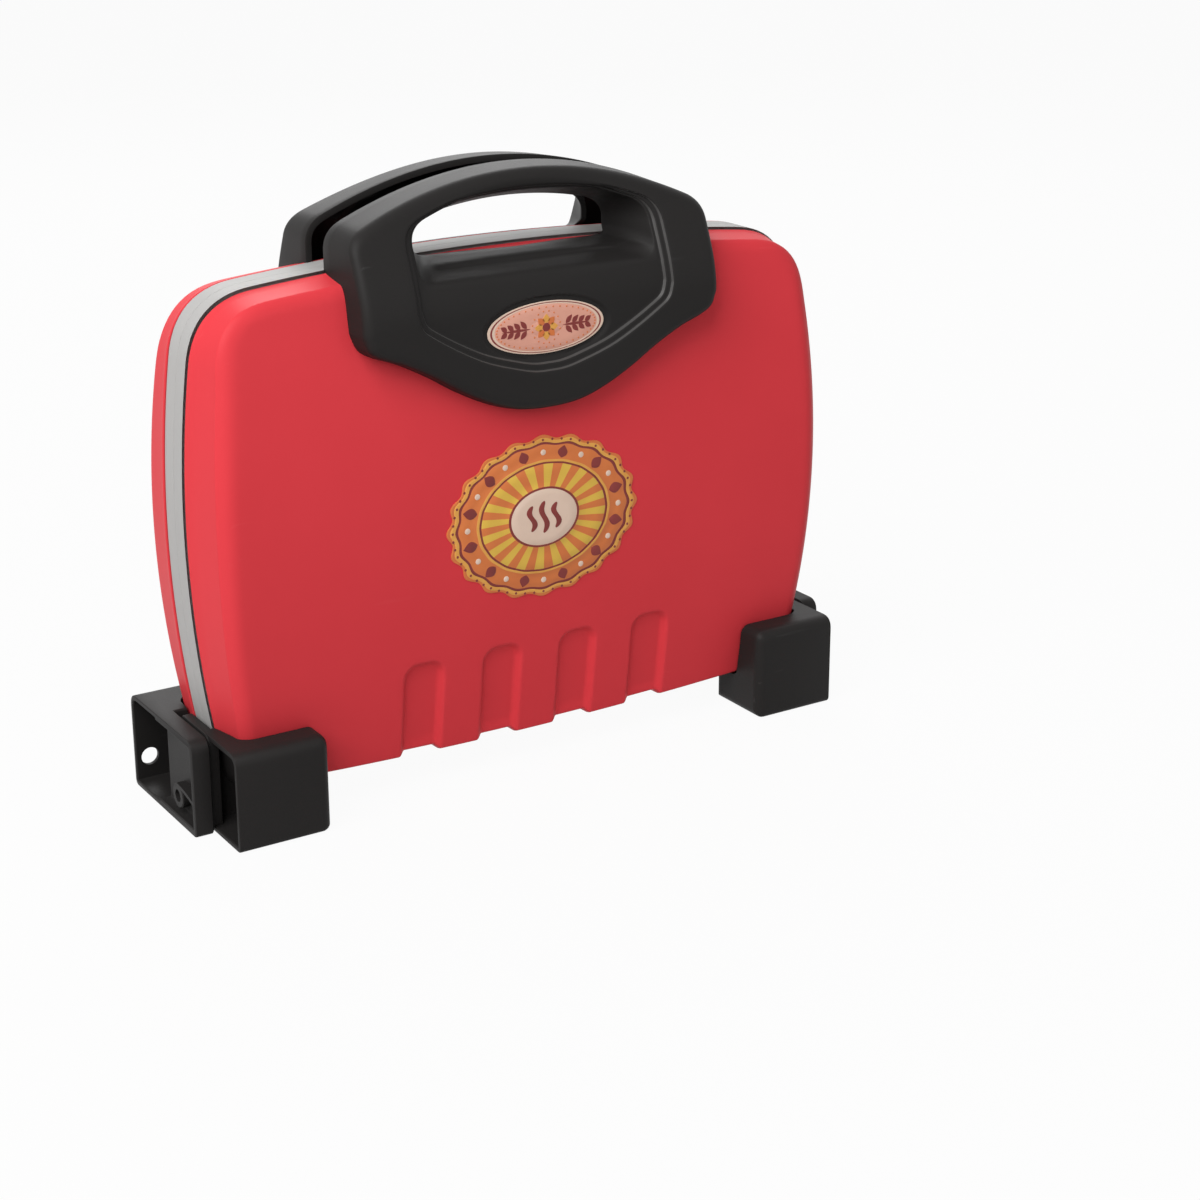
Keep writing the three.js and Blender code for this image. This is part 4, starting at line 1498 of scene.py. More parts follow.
class HandleRings:
    """The rings of a handle's skin, from its rear edge over the front and back inside."""

    steps = (  # of the field's border: distance outside it, and depth
        (0.7, 0.0), (0.35, 0.06), (0.1, 0.28), (-0.1, 0.8), (-0.3, 1.2), (-0.6, 1.42),
        (-1.0, 1.5), (-1.7, 1.5), (-2.1, 1.56), (-2.35, 1.8), (-2.6, 2.4), (-2.85, 2.8),
        (-3.3, 3.0),
    )

    def __init__(self, handle: Handle, rest: Rest) -> None:
        """Works out the distances, in each direction, that the rings run between.

        Args:
            handle: The handle.
            rest: The surface that it rests on.
        """
        self.handle = handle
        self.rest = rest
        self.rings: list[Points] = []
        self.border_start = 0  # index of the first ring of the field's border
        rise = np.sin(handle.angles)
        self.arch = smooth((rise - 0.16) / 0.3)  # 1 above the finger gap, 0 at its sides and below
        self.sill = smooth((-rise - 0.10) / 0.08)  # 1 where the gap ends on the case
        self.border = handle.polar(handle.border)
        front_gap = handle.polar(handle.front_gap.loop())
        land = mix(3.9, 2.6, self.arch)  # kept between the field's border and the gap
        self.window = np.minimum(front_gap, self.border - land)
        self.gap = np.minimum(handle.polar(handle.rear_gap.loop()), self.window - 1.5)
        self.gap_depth = mix(handle.rear, handle.sill_rear, self.sill)
        flat = mix(3.4, 0.6, self.arch)  # part of the land that stays unrounded
        rounding = mix(mix(1.6, 2.4, self.arch), 4.2, self.sill)  # at the sides, arch and sill
        room = np.maximum(self.border - self.window - flat, 0.3)
        self.rounding = np.minimum(rounding, room)

    def add(self, radius: Points, depth: Amount, clear: float | None = None,
            lower: float = 0.0) -> None:
        """Adds a ring.

        Args:
            radius: Distance from the middle in each direction.
            depth: Depth in each direction.
            clear: Distance that it keeps from the surface that the handle rests on.
            lower: How much lower that surface is looked up.
        """
        loop = self.handle.at(radius)
        if clear is not None:
            depth = np.maximum(depth, self.rest(loop - np.array([0.0, lower])) + clear)
        self.rings.append(lift(loop, depth))

    def front(self, radius: Points, sink: Amount) -> Points:
        """Depth of the front, sunk by a distance, at a distance in each direction."""
        return self.handle.front(self.handle.at(radius)[:, 1]) - sink

    def build(self) -> None:
        """Adds all the rings in order."""
        self.add_side()
        end, sink = self.add_border()
        self.add_gap(self.add_field(end, sink))
        self.add_hollow()

    def add_side(self) -> None:
        """Adds the rear edge, the drafted side and the rounding onto the front."""
        handle, edge = self.handle, self.handle.edge
        soft, draft, rounding = handle.soft, handle.draft, handle.rounding
        foot = np.maximum(handle.rear, self.rest(handle.at(edge(0.0))) + 0.12)
        self.add(edge(soft), foot)
        self.add(edge(soft * 0.3), foot + soft * 0.3)
        self.add(edge(0.0), foot + soft)
        shoulder = self.front(edge(draft), rounding)
        for share in (0.25, 0.5, 0.75):
            self.add(edge(draft * share), mix(foot + soft, shoulder, share))
        for angle in np.linspace(0.0, math.pi / 2, 9):
            radius = edge(draft + rounding * (1 - math.cos(angle)))
            self.add(radius, self.front(radius, rounding * (1 - math.sin(angle))))
        for share in np.linspace(0.0, 1.0, 7)[1:-1]:
            radius = mix(edge(draft + rounding), self.border + self.steps[0][0], share)
            self.add(radius, self.front(radius, 0.0))

    def add_border(self) -> tuple[Points, Points]:
        """Adds the steps of the field's border, which roll into the finger gap at the arch.

        Returns:
            Where the field starts: distance from the middle and depth below the front.
        """
        self.border_start = len(self.rings)
        start, recess = self.steps[0][0], self.handle.recess
        room = np.clip((self.border - (self.window + self.rounding)) / 3.5, 0.25, 1.0)
        for k, (away, sink) in enumerate(self.steps):
            share = (k / len(self.steps)) * 0.62
            rolled = quadratic(self.border + start, self.window + 0.4, self.window, share)
            fallen = quadratic(0.0, 0.5, recess + 2.4, share)
            stepped = self.border + np.where(away < 0, away * room, away)
            radius = mix(stepped, rolled, self.arch)
            self.add(radius, self.front(radius, mix(sink, fallen, self.arch)))
        end = mix(self.border + self.steps[-1][0] * room, rolled, self.arch)
        return end, mix(recess, fallen, self.arch)

    def add_field(self, start: Points, sink: Points) -> Points:
        """Adds the field with the label's seat.

        Args:
            start: Where it starts, as a distance from the middle.
            sink: Its depth below the front there.

        Returns:
            Where it ends, as a distance from the middle.
        """
        handle = self.handle
        end = self.window + self.rounding
        for share in np.linspace(0.0, 1.0, 42)[1:-1]:
            radius = np.minimum(mix(start, end, share), start)
            depth = self.front(radius, mix(sink, handle.recess, share))
            self.add(radius, depth - handle.seat(handle.at(radius)))
        return np.minimum(end, start)

    def add_gap(self, start: Points) -> None:
        """Adds the finger gap: the rounding into it, its slope, and its rear edge.

        Args:
            start: Where the rounding starts, as a distance from the middle.
        """
        recess = self.handle.recess
        corner = self.front(self.window, recess)
        fall = np.hypot(self.window - self.gap, corner - self.gap_depth)
        turn = self.window + (self.gap - self.window) * self.rounding / fall
        turn_depth = corner + (self.gap_depth - corner) * self.rounding / fall
        start_depth = self.front(start, recess)
        for share in np.linspace(0.0, 1.0, 9):
            radius = quadratic(start, self.window, turn, share)
            self.add(radius, quadratic(start_depth, corner, turn_depth, share), 0.2, lower=0.5)
        for share in np.linspace(0.0, 0.97, 13)[1:]:
            radius = mix(turn, self.gap, share)
            self.add(radius, mix(turn_depth, self.gap_depth, share), 0.2, lower=0.5)
        self.add(self.gap + 0.25, self.gap_depth, 0.15)

    def add_inner(self, radius: Points, depth: Amount) -> None:
        """Adds a ring of the hollow, clear of the shell and of the front's wall.

        Args:
            radius: Distance from the middle in each direction.
            depth: Depth that it has where there is room.
        """
        loop = self.handle.at(radius)
        clear = np.maximum(depth, self.rest(loop) + 0.12)
        self.rings.append(lift(loop, np.minimum(clear, self.inside(radius, 0.0))))

    def inside(self, radius: Points, sink: Amount) -> Points:
        """Depth of the inner side of the front's wall, where the front is sunk."""
        return self.front(radius, sink) - self.handle.wall

    def add_hollow(self) -> None:
        """Adds the hollow at the handle's rear, from the finger gap outwards."""
        handle, wall, recess = self.handle, self.handle.wall, self.handle.recess
        outer = handle.edge(handle.draft + wall)
        near = np.minimum(self.gap + wall, outer - 1.0)
        front = np.clip(self.window + wall, near + 0.4, outer - 0.6)
        border = np.clip(self.border + mix(1.2, 0.0, self.arch), front + 0.3, outer - 0.3)
        self.add_inner(near, self.gap_depth)
        for share in (0.33, 0.66, 1.0):
            depth = mix(self.gap_depth, self.inside(front, recess), share)
            self.add_inner(mix(near, front, share), depth)
        for share in np.linspace(0.0, 1.0, 7)[1:]:
            radius = mix(front, border, share)
            self.add_inner(radius, self.inside(radius, recess * (1 - self.arch * share)))
        for share in np.linspace(0.0, 1.0, 5)[1:]:
            radius = mix(border, outer, share)
            self.add_inner(radius, self.inside(radius, 0.0))
        for share in (0.4, 0.8, 1.0):
            depth = mix(self.inside(outer, 0.0), handle.rear, share)
            self.add_inner(mix(outer, handle.edge(wall), share), depth)


@dataclass(frozen=True)
class Profile:
    """The rounded section of a foot: it runs from a near depth to a far depth, above the floor."""

    near: float
    far: float
    height: float
    radii: tuple[float, float, float, float]  # at the near low, far low, far high, near high corner

    def ring(self, x: float, inward: float) -> Points:
        """The section at a place.

        Args:
            x: The place along X.
            inward: How far the section is moved inwards.

        Returns:
            The ring's points.
        """
        middle = ((self.near + self.far) / 2, self.height / 2)
        corners = ((self.near, 0.0), (self.far, 0.0), (self.far, self.height),
                   (self.near, self.height))
        parts = []
        for (edge_y, edge_z), full in zip(corners, self.radii):
            sign_y = math.copysign(1.0, middle[0] - edge_y)
            sign_z = math.copysign(1.0, middle[1] - edge_z)
            y, z = edge_y + sign_y * inward, edge_z + sign_z * inward
            radius = max(full - inward, 0.4)
            along, up = (y + sign_y * radius, z), (y, z + sign_z * radius)
            start, end = (up, along) if sign_y == sign_z else (along, up)
            parts.append(bend(start, (y, z), end, 8))
        return set_at(np.vstack(parts), x)

    def bar(self, name: str, places: list[Place]) -> Mesh:
        """A closed bar through sections, given the X and inward distance of each one."""
        return closed_bar(name, [self.ring(x, inward) for x, inward in places])


def set_at(loop: Points, x: float) -> Points:
    """Points of a loop in Y and Z, set at a place along X."""
    return np.stack([np.full(len(loop), x), loop[:, 0], loop[:, 1]], 1)


def closed_bar(name: str, rings: list[Points]) -> Mesh:
    """Makes a closed mesh through rings, with a flat face at each end.

    Args:
        name: Name of the mesh.
        rings: The rings.

    Returns:
        The mesh.
    """
    skin = Skin()
    starts = skin.loft(rings)
    skin.polygon(starts[0], len(rings[0]), turned=True)
    skin.polygon(starts[-1], len(rings[0]))
    return skin.mesh(name)


def round_bar(name: str, along: int, centre: Place, places: list[Place]) -> Mesh:
    """A turned bar along X or Y.

    Args:
        name: Name of the mesh.
        along: Index of the axis, 0 for X and 1 for Y.
        centre: The bar's middle in the other two axes, in order.
        places: Position along the axis and radius of each section.

    Returns:
        The mesh.
    """
    angles = np.linspace(0.0, 2 * math.pi, 40, endpoint=False)
    rings = []
    for place, radius in places:
        circle = [centre[0] + radius * np.cos(angles), centre[1] + radius * np.sin(angles)]
        circle.insert(along, np.full(len(angles), place))
        rings.append(np.stack(circle, 1))
    return closed_bar(name, rings)


def block(name: str, low: tuple[float, ...], high: tuple[float, ...]) -> Mesh:
    """A square cutter between two corners."""
    corners = [(low[1], low[2]), (high[1], low[2]), (high[1], high[2]), (low[1], high[2])]
    return closed_bar(name, [set_at(np.array(corners), x) for x in (low[0], high[0])])


@dataclass
class Feet:
    """The four black feet, with the cheeks and arms of the hinge and its pins."""

    cutter: Shell
    height: float = 36.7
    depth: float = 38.6
    inner_x: float = 94.0
    front_outer: float = 130.0
    back_outer: float = 138.0
    front_near: float = 9.0
    back_near: float = 13.0
    side_radius: float = 3.6
    radii: tuple[float, float, float, float] = (1.0, 2.4, 5.0, 1.0)
    soft: float = 0.4
    seat_gap: float = 0.9
    boss_radius: float = 3.6
    boss_place: Place = (105.0, 27.5)
    axis_z: float = 9.5
    pin_radius: float = 2.05
    cheek_out: float = 130.4
    cheek_in: float = 126.4
    cheek_reach: float = -8.0
    cheek_far: float = 16.0
    arm_in: float = 131.2
    arm_near: float = -18.8
    arm_wall: float = 2.8
    arm_radii: tuple[float, float, float, float] = (2.4, 2.4, 5.0, 5.0)
    web: float = 2.3
    ring_radius: float = 4.75
    ring_face: float = 136.8
    rib_thickness: float = 1.4
    hole_place: Place = (132.5, 10.6)
    hole_radius: float = 3.4

    def soft_end(self, x: float) -> list[Place]:
        """Sections of an end with a softened edge."""
        soft = self.soft
        return [(x - soft, 0.0), (x - soft * 0.3, soft * 0.3), (x, soft)]

    def open_end(self, outer: float, wall: float = WALL) -> list[Place]:
        """Sections of a hollow inside a wall that runs out of a foot's outer end."""
        soft = self.soft
        return [(outer - soft, wall), (outer, wall - soft), (outer + OVERRUN, wall - soft)]

    def body(self, near: float, outer: float) -> Mesh:
        """A foot's body with its rounded inner end and its open, hollow outer end.

        Args:
            near: Depth at which it starts.
            outer: X of its outer end.

        Returns:
            The mesh.
        """
        profile = Profile(near, self.depth, self.height, self.radii)
        radius, inner = self.side_radius, self.inner_x + WALL
        places = [
            (self.inner_x + radius * (1 - math.cos(a)), radius * (1 - math.sin(a)))
            for a in np.linspace(0.0, math.pi / 2, 10)
        ]
        mesh = profile.bar("foot", places + self.soft_end(outer))
        places = [(inner, WALL + 1.2), (inner + 0.35, WALL + 0.35), (inner + 1.2, WALL)]
        room = profile.bar("foot_room", places + self.open_end(outer))
        room = boolean(room, self.cutter.solid(WALL + GAP).mesh("cradle"), Cut.REMOVE)
        boss = [(near, self.boss_radius), (self.depth, self.boss_radius)]
        room = boolean(room, round_bar("boss", 1, self.boss_place, boss), Cut.REMOVE)
        return boolean(mesh, room, Cut.REMOVE)

    def finish(self, mesh: Mesh) -> Mesh:
        """Cuts the seat of the shell and the bore of the pin.

        Args:
            mesh: A foot.

        Returns:
            The foot with its seat and bore.
        """
        mesh = boolean(mesh, self.cutter.solid(self.seat_gap).mesh("seat"), Cut.REMOVE)
        ends = (self.cheek_in - OVERRUN, self.back_outer + OVERRUN)
        bore = [(x, self.pin_radius + GAP) for x in ends]
        return boolean(mesh, round_bar("bore", 0, (0.0, self.axis_z), bore), Cut.REMOVE)

    def front_foot(self) -> Mesh:
        """Builds the foot of the front half, whose cheek runs back past the parting plane.

        Returns:
            The mesh.
        """
        cheek = Profile(self.cheek_reach, self.cheek_far, self.height, self.radii)
        inner = [(self.cheek_in, self.soft), (self.cheek_in + self.soft, 0.0)]
        bar = cheek.bar("cheek", inner + self.soft_end(self.cheek_out))
        return self.finish(boolean(self.body(self.front_near, self.front_outer), bar, Cut.JOIN))

    def rib(self) -> Mesh:
        """Builds the curved rib from the hinge ring to the front edge of the arm.

        Returns:
            The mesh.
        """
        top = self.axis_z + self.ring_radius
        end_y, end_z = self.arm_near + self.arm_wall / 2, self.axis_z + 1.0
        upper = bend((0.0, top), (end_y / 2, top), (end_y, end_z), 16)
        lower = upper - np.array([0.0, self.rib_thickness])
        loop = np.vstack([upper, lower[::-1]])
        ends = (self.arm_in - OVERRUN, self.ring_face)
        return closed_bar("rib", [set_at(loop, x) for x in ends])

    def arm_room(self) -> Mesh:
        """Builds the hollow of the arm's outer face, with the pocket below the rib.

        Returns:
            The mesh.
        """
        profile = Profile(self.arm_near, self.depth, self.height, self.arm_radii)
        web_x, wall, soft = self.arm_in + self.web, self.arm_wall, self.soft
        inner = [(web_x, wall + 0.8), (web_x + 0.25, wall + 0.25), (web_x + 0.8, wall)]
        room = profile.bar("arm_room", inner + self.open_end(self.back_outer, wall))
        pocket = block("pocket", (self.arm_in - GAP, self.arm_near + wall, wall), (
            web_x + GAP, -self.ring_radius - self.rib_thickness, self.axis_z))
        room = boolean(room, pocket, Cut.JOIN)
        ring = round_bar("ring", 0, (0.0, self.axis_z), [
            (self.arm_in, self.ring_radius), (self.ring_face - soft, self.ring_radius),
            (self.ring_face, self.ring_radius - soft),
        ])
        room = boolean(room, self.rib(), Cut.REMOVE)
        return boolean(room, ring, Cut.REMOVE)

    def back_foot(self) -> Mesh:
        """Builds the foot of the back half, whose arm runs forward outside the cheek.

        Returns:
            The mesh.
        """
        soft, far, outer = self.soft, self.depth, self.back_outer
        places = [(self.arm_in, soft), (self.arm_in + soft, 0.0)] + self.soft_end(outer)
        arm = Profile(self.arm_near, far, self.height, self.arm_radii).bar("arm", places)
        places = [(self.arm_in - 1.0, WALL)] + self.open_end(outer)
        room = Profile(self.back_near, far, self.height, self.radii).bar("arm_end", places)
        body = self.body(self.back_near, outer)
        mesh = boolean(body, boolean(arm, room, Cut.REMOVE), Cut.JOIN)
        mesh = boolean(mesh, self.arm_room(), Cut.REMOVE)
        hole = round_bar("rear_hole", 1, self.hole_place, [
            (far - WALL - GAP, self.hole_radius), (far - soft, self.hole_radius),
            (far + 0.05, self.hole_radius + soft), (far + OVERRUN, self.hole_radius + soft),
        ])
        return self.finish(boolean(mesh, hole, Cut.REMOVE))

    def place(self, mesh: Mesh, name: str, half: Half, side: Side) -> Mesh:
        """Copies a piece to its place.

        Args:
            mesh: The piece at the high end of the back half.
            name: Name of the copy.
            half: Half that it is turned to.
            side: End that it is mirrored to.

        Returns:
            The copy.
        """
        copy = mesh.copy()
        copy.name = name
        copy.transform(Matrix.Diagonal((half.sign * side.value, half.sign, 1.0, 1.0)))
        if side is Side.LOW:
            copy.flip_normals()
        finish_mesh(copy, recalculate=False)
        return copy

    def build(self, half: Half, finishes: Finishes) -> None:
        """Builds the two feet of a half and dresses them.

        Args:
            half: The half.
            finishes: The materials.
        """
        mesh = self.back_foot() if half is Half.BACK else self.front_foot()
        for side in Side:
            end = "right" if side.value * half.sign > 0 else "left"
            copy = self.place(mesh, f"{half.prefix}_hinge_foot_{end}", half, side)
            settle(copy, half, "black_plastic", [finishes.black], f"{half.prefix}_foot_{end}")

    def build_pins(self, finishes: Finishes) -> None:
        """Builds the two hinge pins, each with its head inside the cheek.

        Args:
            finishes: The materials.
        """
        inner, outer = self.cheek_in - GAP, self.back_outer - 2.4
        head, thick, radius, soft = 3.0, 1.2, self.pin_radius, 0.35
        pin = round_bar("pin", 0, (0.0, self.axis_z), [
            (inner - thick, head - soft), (inner - thick + soft, head), (inner, head),
            (inner, radius), (outer - soft, radius), (outer, radius - soft),
            (outer, 1.0), (outer - 0.8, 0.9), (outer - 0.8, 0.05),
        ])
        for side in Side:
            end = "right" if side is Side.HIGH else "left"
            copy = self.place(pin, f"hinge_pin_{end}_turned", Half.BACK, side)
            settle(copy, Half.BACK, "black_plastic", [finishes.black], f"hinge_pin_{end}")


class BeadTree(RepeatTree):
    """Flattened beads on the vertices of a mesh."""

    name = "bead_rows"
    inputs = {"Radius": "Float", "Thickness": "Float"}

    @staticmethod
    def shape(made: Tree, start: NodeOutputs) -> Node:
        """Adds a bead at each vertex.

        Args:
            made: The tree.
            start: The group's inputs.

        Returns:
            The node that places the beads.
        """
        bead = made.add(
            "GeometryNodeMeshUVSphere", inputs={"Segments": 12, "Rings": 6, "Radius": 1.0})
        return made.add("GeometryNodeInstanceOnPoints", inputs={
            "Points": start["Geometry"],
            "Instance": bead,
            "Scale": made.vector(X=start["Radius"], Y=start["Thickness"], Z=start["Radius"]),
        })


class ScrewTree(RepeatTree):
    """Cross-head screws on the vertices of a mesh, cut from a turned blank."""

    name = "cross_head_screws"
    inputs = {"Blank": "Object", "Slot Length": "Float", "Slot Width": "Float",
              "Slot Depth": "Float", "Head": "Float", "Turn": "Rotation"}

    @staticmethod
    def shape(made: Tree, start: NodeOutputs) -> Node:
        """Cuts two crossed bars from the blank's head, and puts a copy at each vertex.

        Args:
            made: The tree.
            start: The group's inputs.

        Returns:
            The node that places the screws.
        """
        blank = made.add("GeometryNodeObjectInfo", inputs={"Object": start["Blank"]})
        screw = blank.outputs["Geometry"]
        deep = made.math("MULTIPLY", start["Slot Depth"], 2.0)
        place = made.vector(Y=made.math("MULTIPLY", start["Head"], -1.0))
        for long, tall in (("Slot Length", "Slot Width"), ("Slot Width", "Slot Length")):
            size = made.vector(X=start[long], Y=deep, Z=start[tall])
            bar = made.add("GeometryNodeMeshCube", inputs={"Size": size})
            moved = made.add(
                "GeometryNodeTransform", inputs={"Geometry": bar, "Translation": place})
            screw = made.add(
                "GeometryNodeMeshBoolean", operation="DIFFERENCE", solver="EXACT",
                inputs={"Mesh 1": screw, "Mesh 2": moved})
        return made.add("GeometryNodeInstanceOnPoints", inputs={
            "Points": start["Geometry"], "Instance": screw, "Rotation": start["Turn"]})


@dataclass
class TrayScrews:
    """The four cross-head screws in a basin's floor."""

    case: Case
    seat: float = 13.9  # depth of the basin's floor under the heads
    head_radius: float = 2.9
    head: float = 1.8
    shank_radius: float = 1.35
    length: float = 8.6
    slot: tuple[float, float, float] = (3.4, 0.8, 1.1)  # length, width and depth of the cross

    def blank(self) -> Mesh:
        """Turns a screw that has no cross yet.

        Returns:
            The mesh.
        """
        radius, head = self.head_radius, self.head
        places = [(-head, 0.05), (-head, radius * 0.45), (-head * 0.9, radius * 0.7),
                  (-head * 0.65, radius * 0.9), (-head * 0.3, radius), (0.0, radius),
                  (0.0, self.shank_radius), (self.length - 1.4, self.shank_radius),
                  (self.length, 0.3)]
        return round_bar("screw_blank", 1, (0.0, 0.0), places)

    def build(self, half: Half, finishes: Finishes) -> None:
        """Builds the screws of a half and dresses them.

        Args:
            half: The half.
            finishes: The materials.
        """
        case = self.case
        places = np.array([
            (side * case.screw_x, self.seat, z)
            for side in (-1, 1) for z in (case.screw_low, case.screw_high)
        ])
        blank = make_object(self.blank())
        long, wide, deep = (size * METRE for size in self.slot)
        values = {
            "Blank": blank, "Slot Length": long, "Slot Width": wide, "Slot Depth": deep,
            "Head": self.head * METRE,
            "Turn": (0.0, 0.0, 0.0 if half is Half.BACK else math.pi),
            "Finish": finishes.steel,
        }
        mesh = ScrewTree.run(places, half, values, f"{half.prefix}_tray_screws")
        bpy.data.objects.remove(blank)
        nodes = [f"{half.prefix}_tray_screw_{i + 1}" for i in range(len(places))]
        settle(mesh, half, "steel", (), *nodes)


@dataclass(frozen=True)
class Band:
    """A band of a printed piece, of one ink or of inks that take turns round it."""

    share: float  # its outer edge, of the piece's size
    rise: float
    inks: tuple[Ink, ...]


@dataclass
class Print:
    """An oval printed plaque in low relief, with coloured bands and inlaid motifs.

    Its own frame has U to the viewer's right, V up, and its thickness outwards.
    """

    name: str
    node: str
    half_u: float
    half_v: float
    height: float  # of the middle
    base: Depth  # of the surface behind it
    finishes: Finishes
    segments: int = 240
    lobes: int = 0
    lobe_share: float = 0.0
    back: float = 0.04
    ray_segments: int = 6  # width of a ray where inks take turns
    skin: Skin = field(default_factory=Skin)

    def loop(self, share: float) -> Points:
        """Draws the oval, whose lobes fade towards the middle.

        Args:
            share: Share of its size.

        Returns:
            Its points.
        """
        angle = np.linspace(0.0, 2 * math.pi, self.segments, endpoint=False)
        wave = 1.0 - self.lobe_share * (0.5 - 0.5 * np.cos(self.lobes * angle)) * share**6
        u, v = self.half_u * share * wave, self.half_v * share * wave
        return np.stack([u * np.cos(angle), v * np.sin(angle)], 1)

    def lift(self, loop: Points, rise: float) -> Points:
        """Points of the plaque's plane, set above the surface behind it, in the half's frame."""
        z = self.height + loop[:, 1]
        return lift(np.stack([-loop[:, 0], z], 1), depth_at(self.base, z) + rise)

    def ring(self, share: float, rise: float) -> int:
        """Adds the oval at a share of its size, and returns the index of its first vertex."""
        return self.skin.add(self.lift(self.loop(share), rise))

    def add_bands(self, *bands: Band) -> None:
        """Adds the plaque's back and its bands.

        Args:
            bands: The bands, from the edge to the middle.
        """
        skin, size, core = self.skin, self.segments, 0.01
        back_ink = bands[0].inks[0].value
        middle, last = self.ring(core, self.back), self.ring(bands[0].share, self.back)
        skin.join(middle, last, size, back_ink)
        skin.polygon(middle, size, back_ink, turned=True)
        for band, end in zip(bands, [*(b.share for b in bands[1:]), core]):
            inks = [
                band.inks[i // self.ray_segments % len(band.inks)].value for i in range(size)]
            edge = self.ring(band.share, band.rise - 0.06)
            skin.join(last, edge, size, inks)
            last = edge
            start = band.share - 0.1 / self.half_v
            steps = max(2, int((start - end) * self.half_v / 2.5))
            for t in np.linspace(0.0, 1.0, steps + 1):
                ring = self.ring(mix(start, end, t), band.rise)
                skin.join(last, ring, size, inks)
                last = ring
        skin.polygon(last, size, inks[0])

    def inlay(self, outline: Points, high: float, ink: Ink) -> None:
        """Adds a flat motif as a closed piece.

        Args:
            outline: Its outline, anticlockwise.
            high: Rise of its face.
            ink: Its colour.
        """
        skin, size = self.skin, len(outline)
        under = skin.add(self.lift(outline, 0.3))
        shoulder = skin.add(self.lift(outline, high - 0.05))
        face = skin.add(self.lift(mix(outline, outline.mean(axis=0), 0.03), high))
        skin.join(under, shoulder, size, ink.value)
        skin.join(shoulder, face, size, ink.value)
        skin.polygon(under, size, ink.value, turned=True)
        skin.polygon(face, size, ink.value)

    def beads(self, name: str, places: Points, rise: float, radius: float, ink: Ink) -> None:
        """Sets small flat beads on the plaque, as a piece of their own.

        Args:
            name: Name of the piece.
            places: Their places in the plaque's plane.
            rise: Rise of the surface that they sit on.
            radius: Their radius.
            ink: Their colour.
        """
        values = {
            "Radius": radius * METRE, "Thickness": 0.14 * METRE, "Finish": self.finishes.inks[ink]}
        mesh = BeadTree.run(self.lift(places, rise), Half.FRONT, values, name)
        settle(mesh, Half.FRONT, "printed_film")

    def finish(self) -> None:
        """Makes the plaque and hands it to the frame."""
        mesh = self.skin.mesh(self.name, Half.FRONT.sign)
        settle(mesh, Half.FRONT, "printed_film", self.finishes.inks.values(), self.node)


def oval(half_u: float, half_v: float, count: int, start: float = 0.0) -> Points:
    """Points round an oval, from a starting angle."""
    angle = start + np.linspace(0.0, 2 * math.pi, count, endpoint=False)
    return np.stack([half_u * np.cos(angle), half_v * np.sin(angle)], 1)


def leaf(start: Place, end: Place, width: float) -> Points:
    """The outline of a pointed leaf.

    Args:
        start: Its foot.
        end: Its tip.
        width: Half its width.

    Returns:
        The outline's points.
    """
    a, b = np.array(start), np.array(end)
    side = np.array([a[1] - b[1], b[0] - a[0]]) / np.linalg.norm(b - a)
    t = np.linspace(0.0, 1.0, 13)[:, None]
    swell = side * (np.sin(math.pi * t**0.85) * width)
    return np.vstack([mix(a, b, t) - swell, (mix(a, b, t) + swell)[-2:0:-1]])


def wavy_bar(u: float, tall: float, width: float, swing: float) -> Points:
    """The outline of an upright bar with a wave in it.

    Args:
        u: Its place.
        tall: Half its height.
        width: Half its width.
        swing: How far the wave goes to each side.

    Returns:
        The outline's points.
    """
    v = np.linspace(-tall, tall, 33)
    middle = u + swing * np.sin((v + tall) / (tall + tall) * 2 * math.pi)
    taper = width * np.sqrt(np.clip(1 - (2 * (v + tall) / (tall + tall) - 1) ** 6, 0.02, 1))
    right, left = np.stack([middle + taper, v], 1), np.stack([middle - taper, v], 1)
    return np.vstack([right, left[::-1]])


def build_badge(case: Case, finishes: Finishes) -> None:
    """Builds the rayed badge of the face, a plain ornament in warm colours.

    Args:
        case: The case.
        finishes: The materials.
    """
    badge = Print("face_badge_print", "face_badge", 41.0, 31.2, case.middle - 7.0, case.face_depth,
                  finishes, lobes=20, lobe_share=0.05)
    badge.add_bands(
        Band(1.0, 0.34, (Ink.ORANGE,)),
        Band(0.965, 0.46, (Ink.GOLD,)),
        Band(0.915, 0.34, (Ink.BROWN_RED,)),
        Band(0.885, 0.40, (Ink.ORANGE,)),
        Band(0.70, 0.46, (Ink.GOLD,)),
        Band(0.672, 0.36, (Ink.BROWN_RED,)),
        Band(0.65, 0.40, (Ink.ORANGE, Ink.YELLOW)),
        Band(0.37, 0.46, (Ink.BROWN_RED,)),
        Band(0.345, 0.42, (Ink.CREAM,)),
    )
    leaves, leaf_start, leaf_end = 12, 0.715, 0.865
    for k in range(leaves):
        angle = (k + 0.5) / leaves * 2 * math.pi
        tip = np.array([badge.half_u * math.cos(angle), badge.half_v * math.sin(angle)])
        badge.inlay(leaf(tip * leaf_start, tip * leaf_end, 2.1), 0.5, Ink.BROWN_RED)
    for u, tall in ((-5.2, 5.0), (0.0, 6.2), (5.2, 5.0)):
        badge.inlay(wavy_bar(u, tall, 1.15, 1.2), 0.52, Ink.BROWN_RED)
    badge.finish()
    for name, share, count, rise, radius, ink in (
        ("face_badge_beads", 0.79, leaves, 0.40, 1.15, Ink.CREAM),
        ("face_badge_dots", 0.94, 60, 0.46, 0.5, Ink.BROWN_RED),
    ):
        places = oval(badge.half_u * share, badge.half_v * share, count)
        badge.beads(name, places, rise, radius, ink)


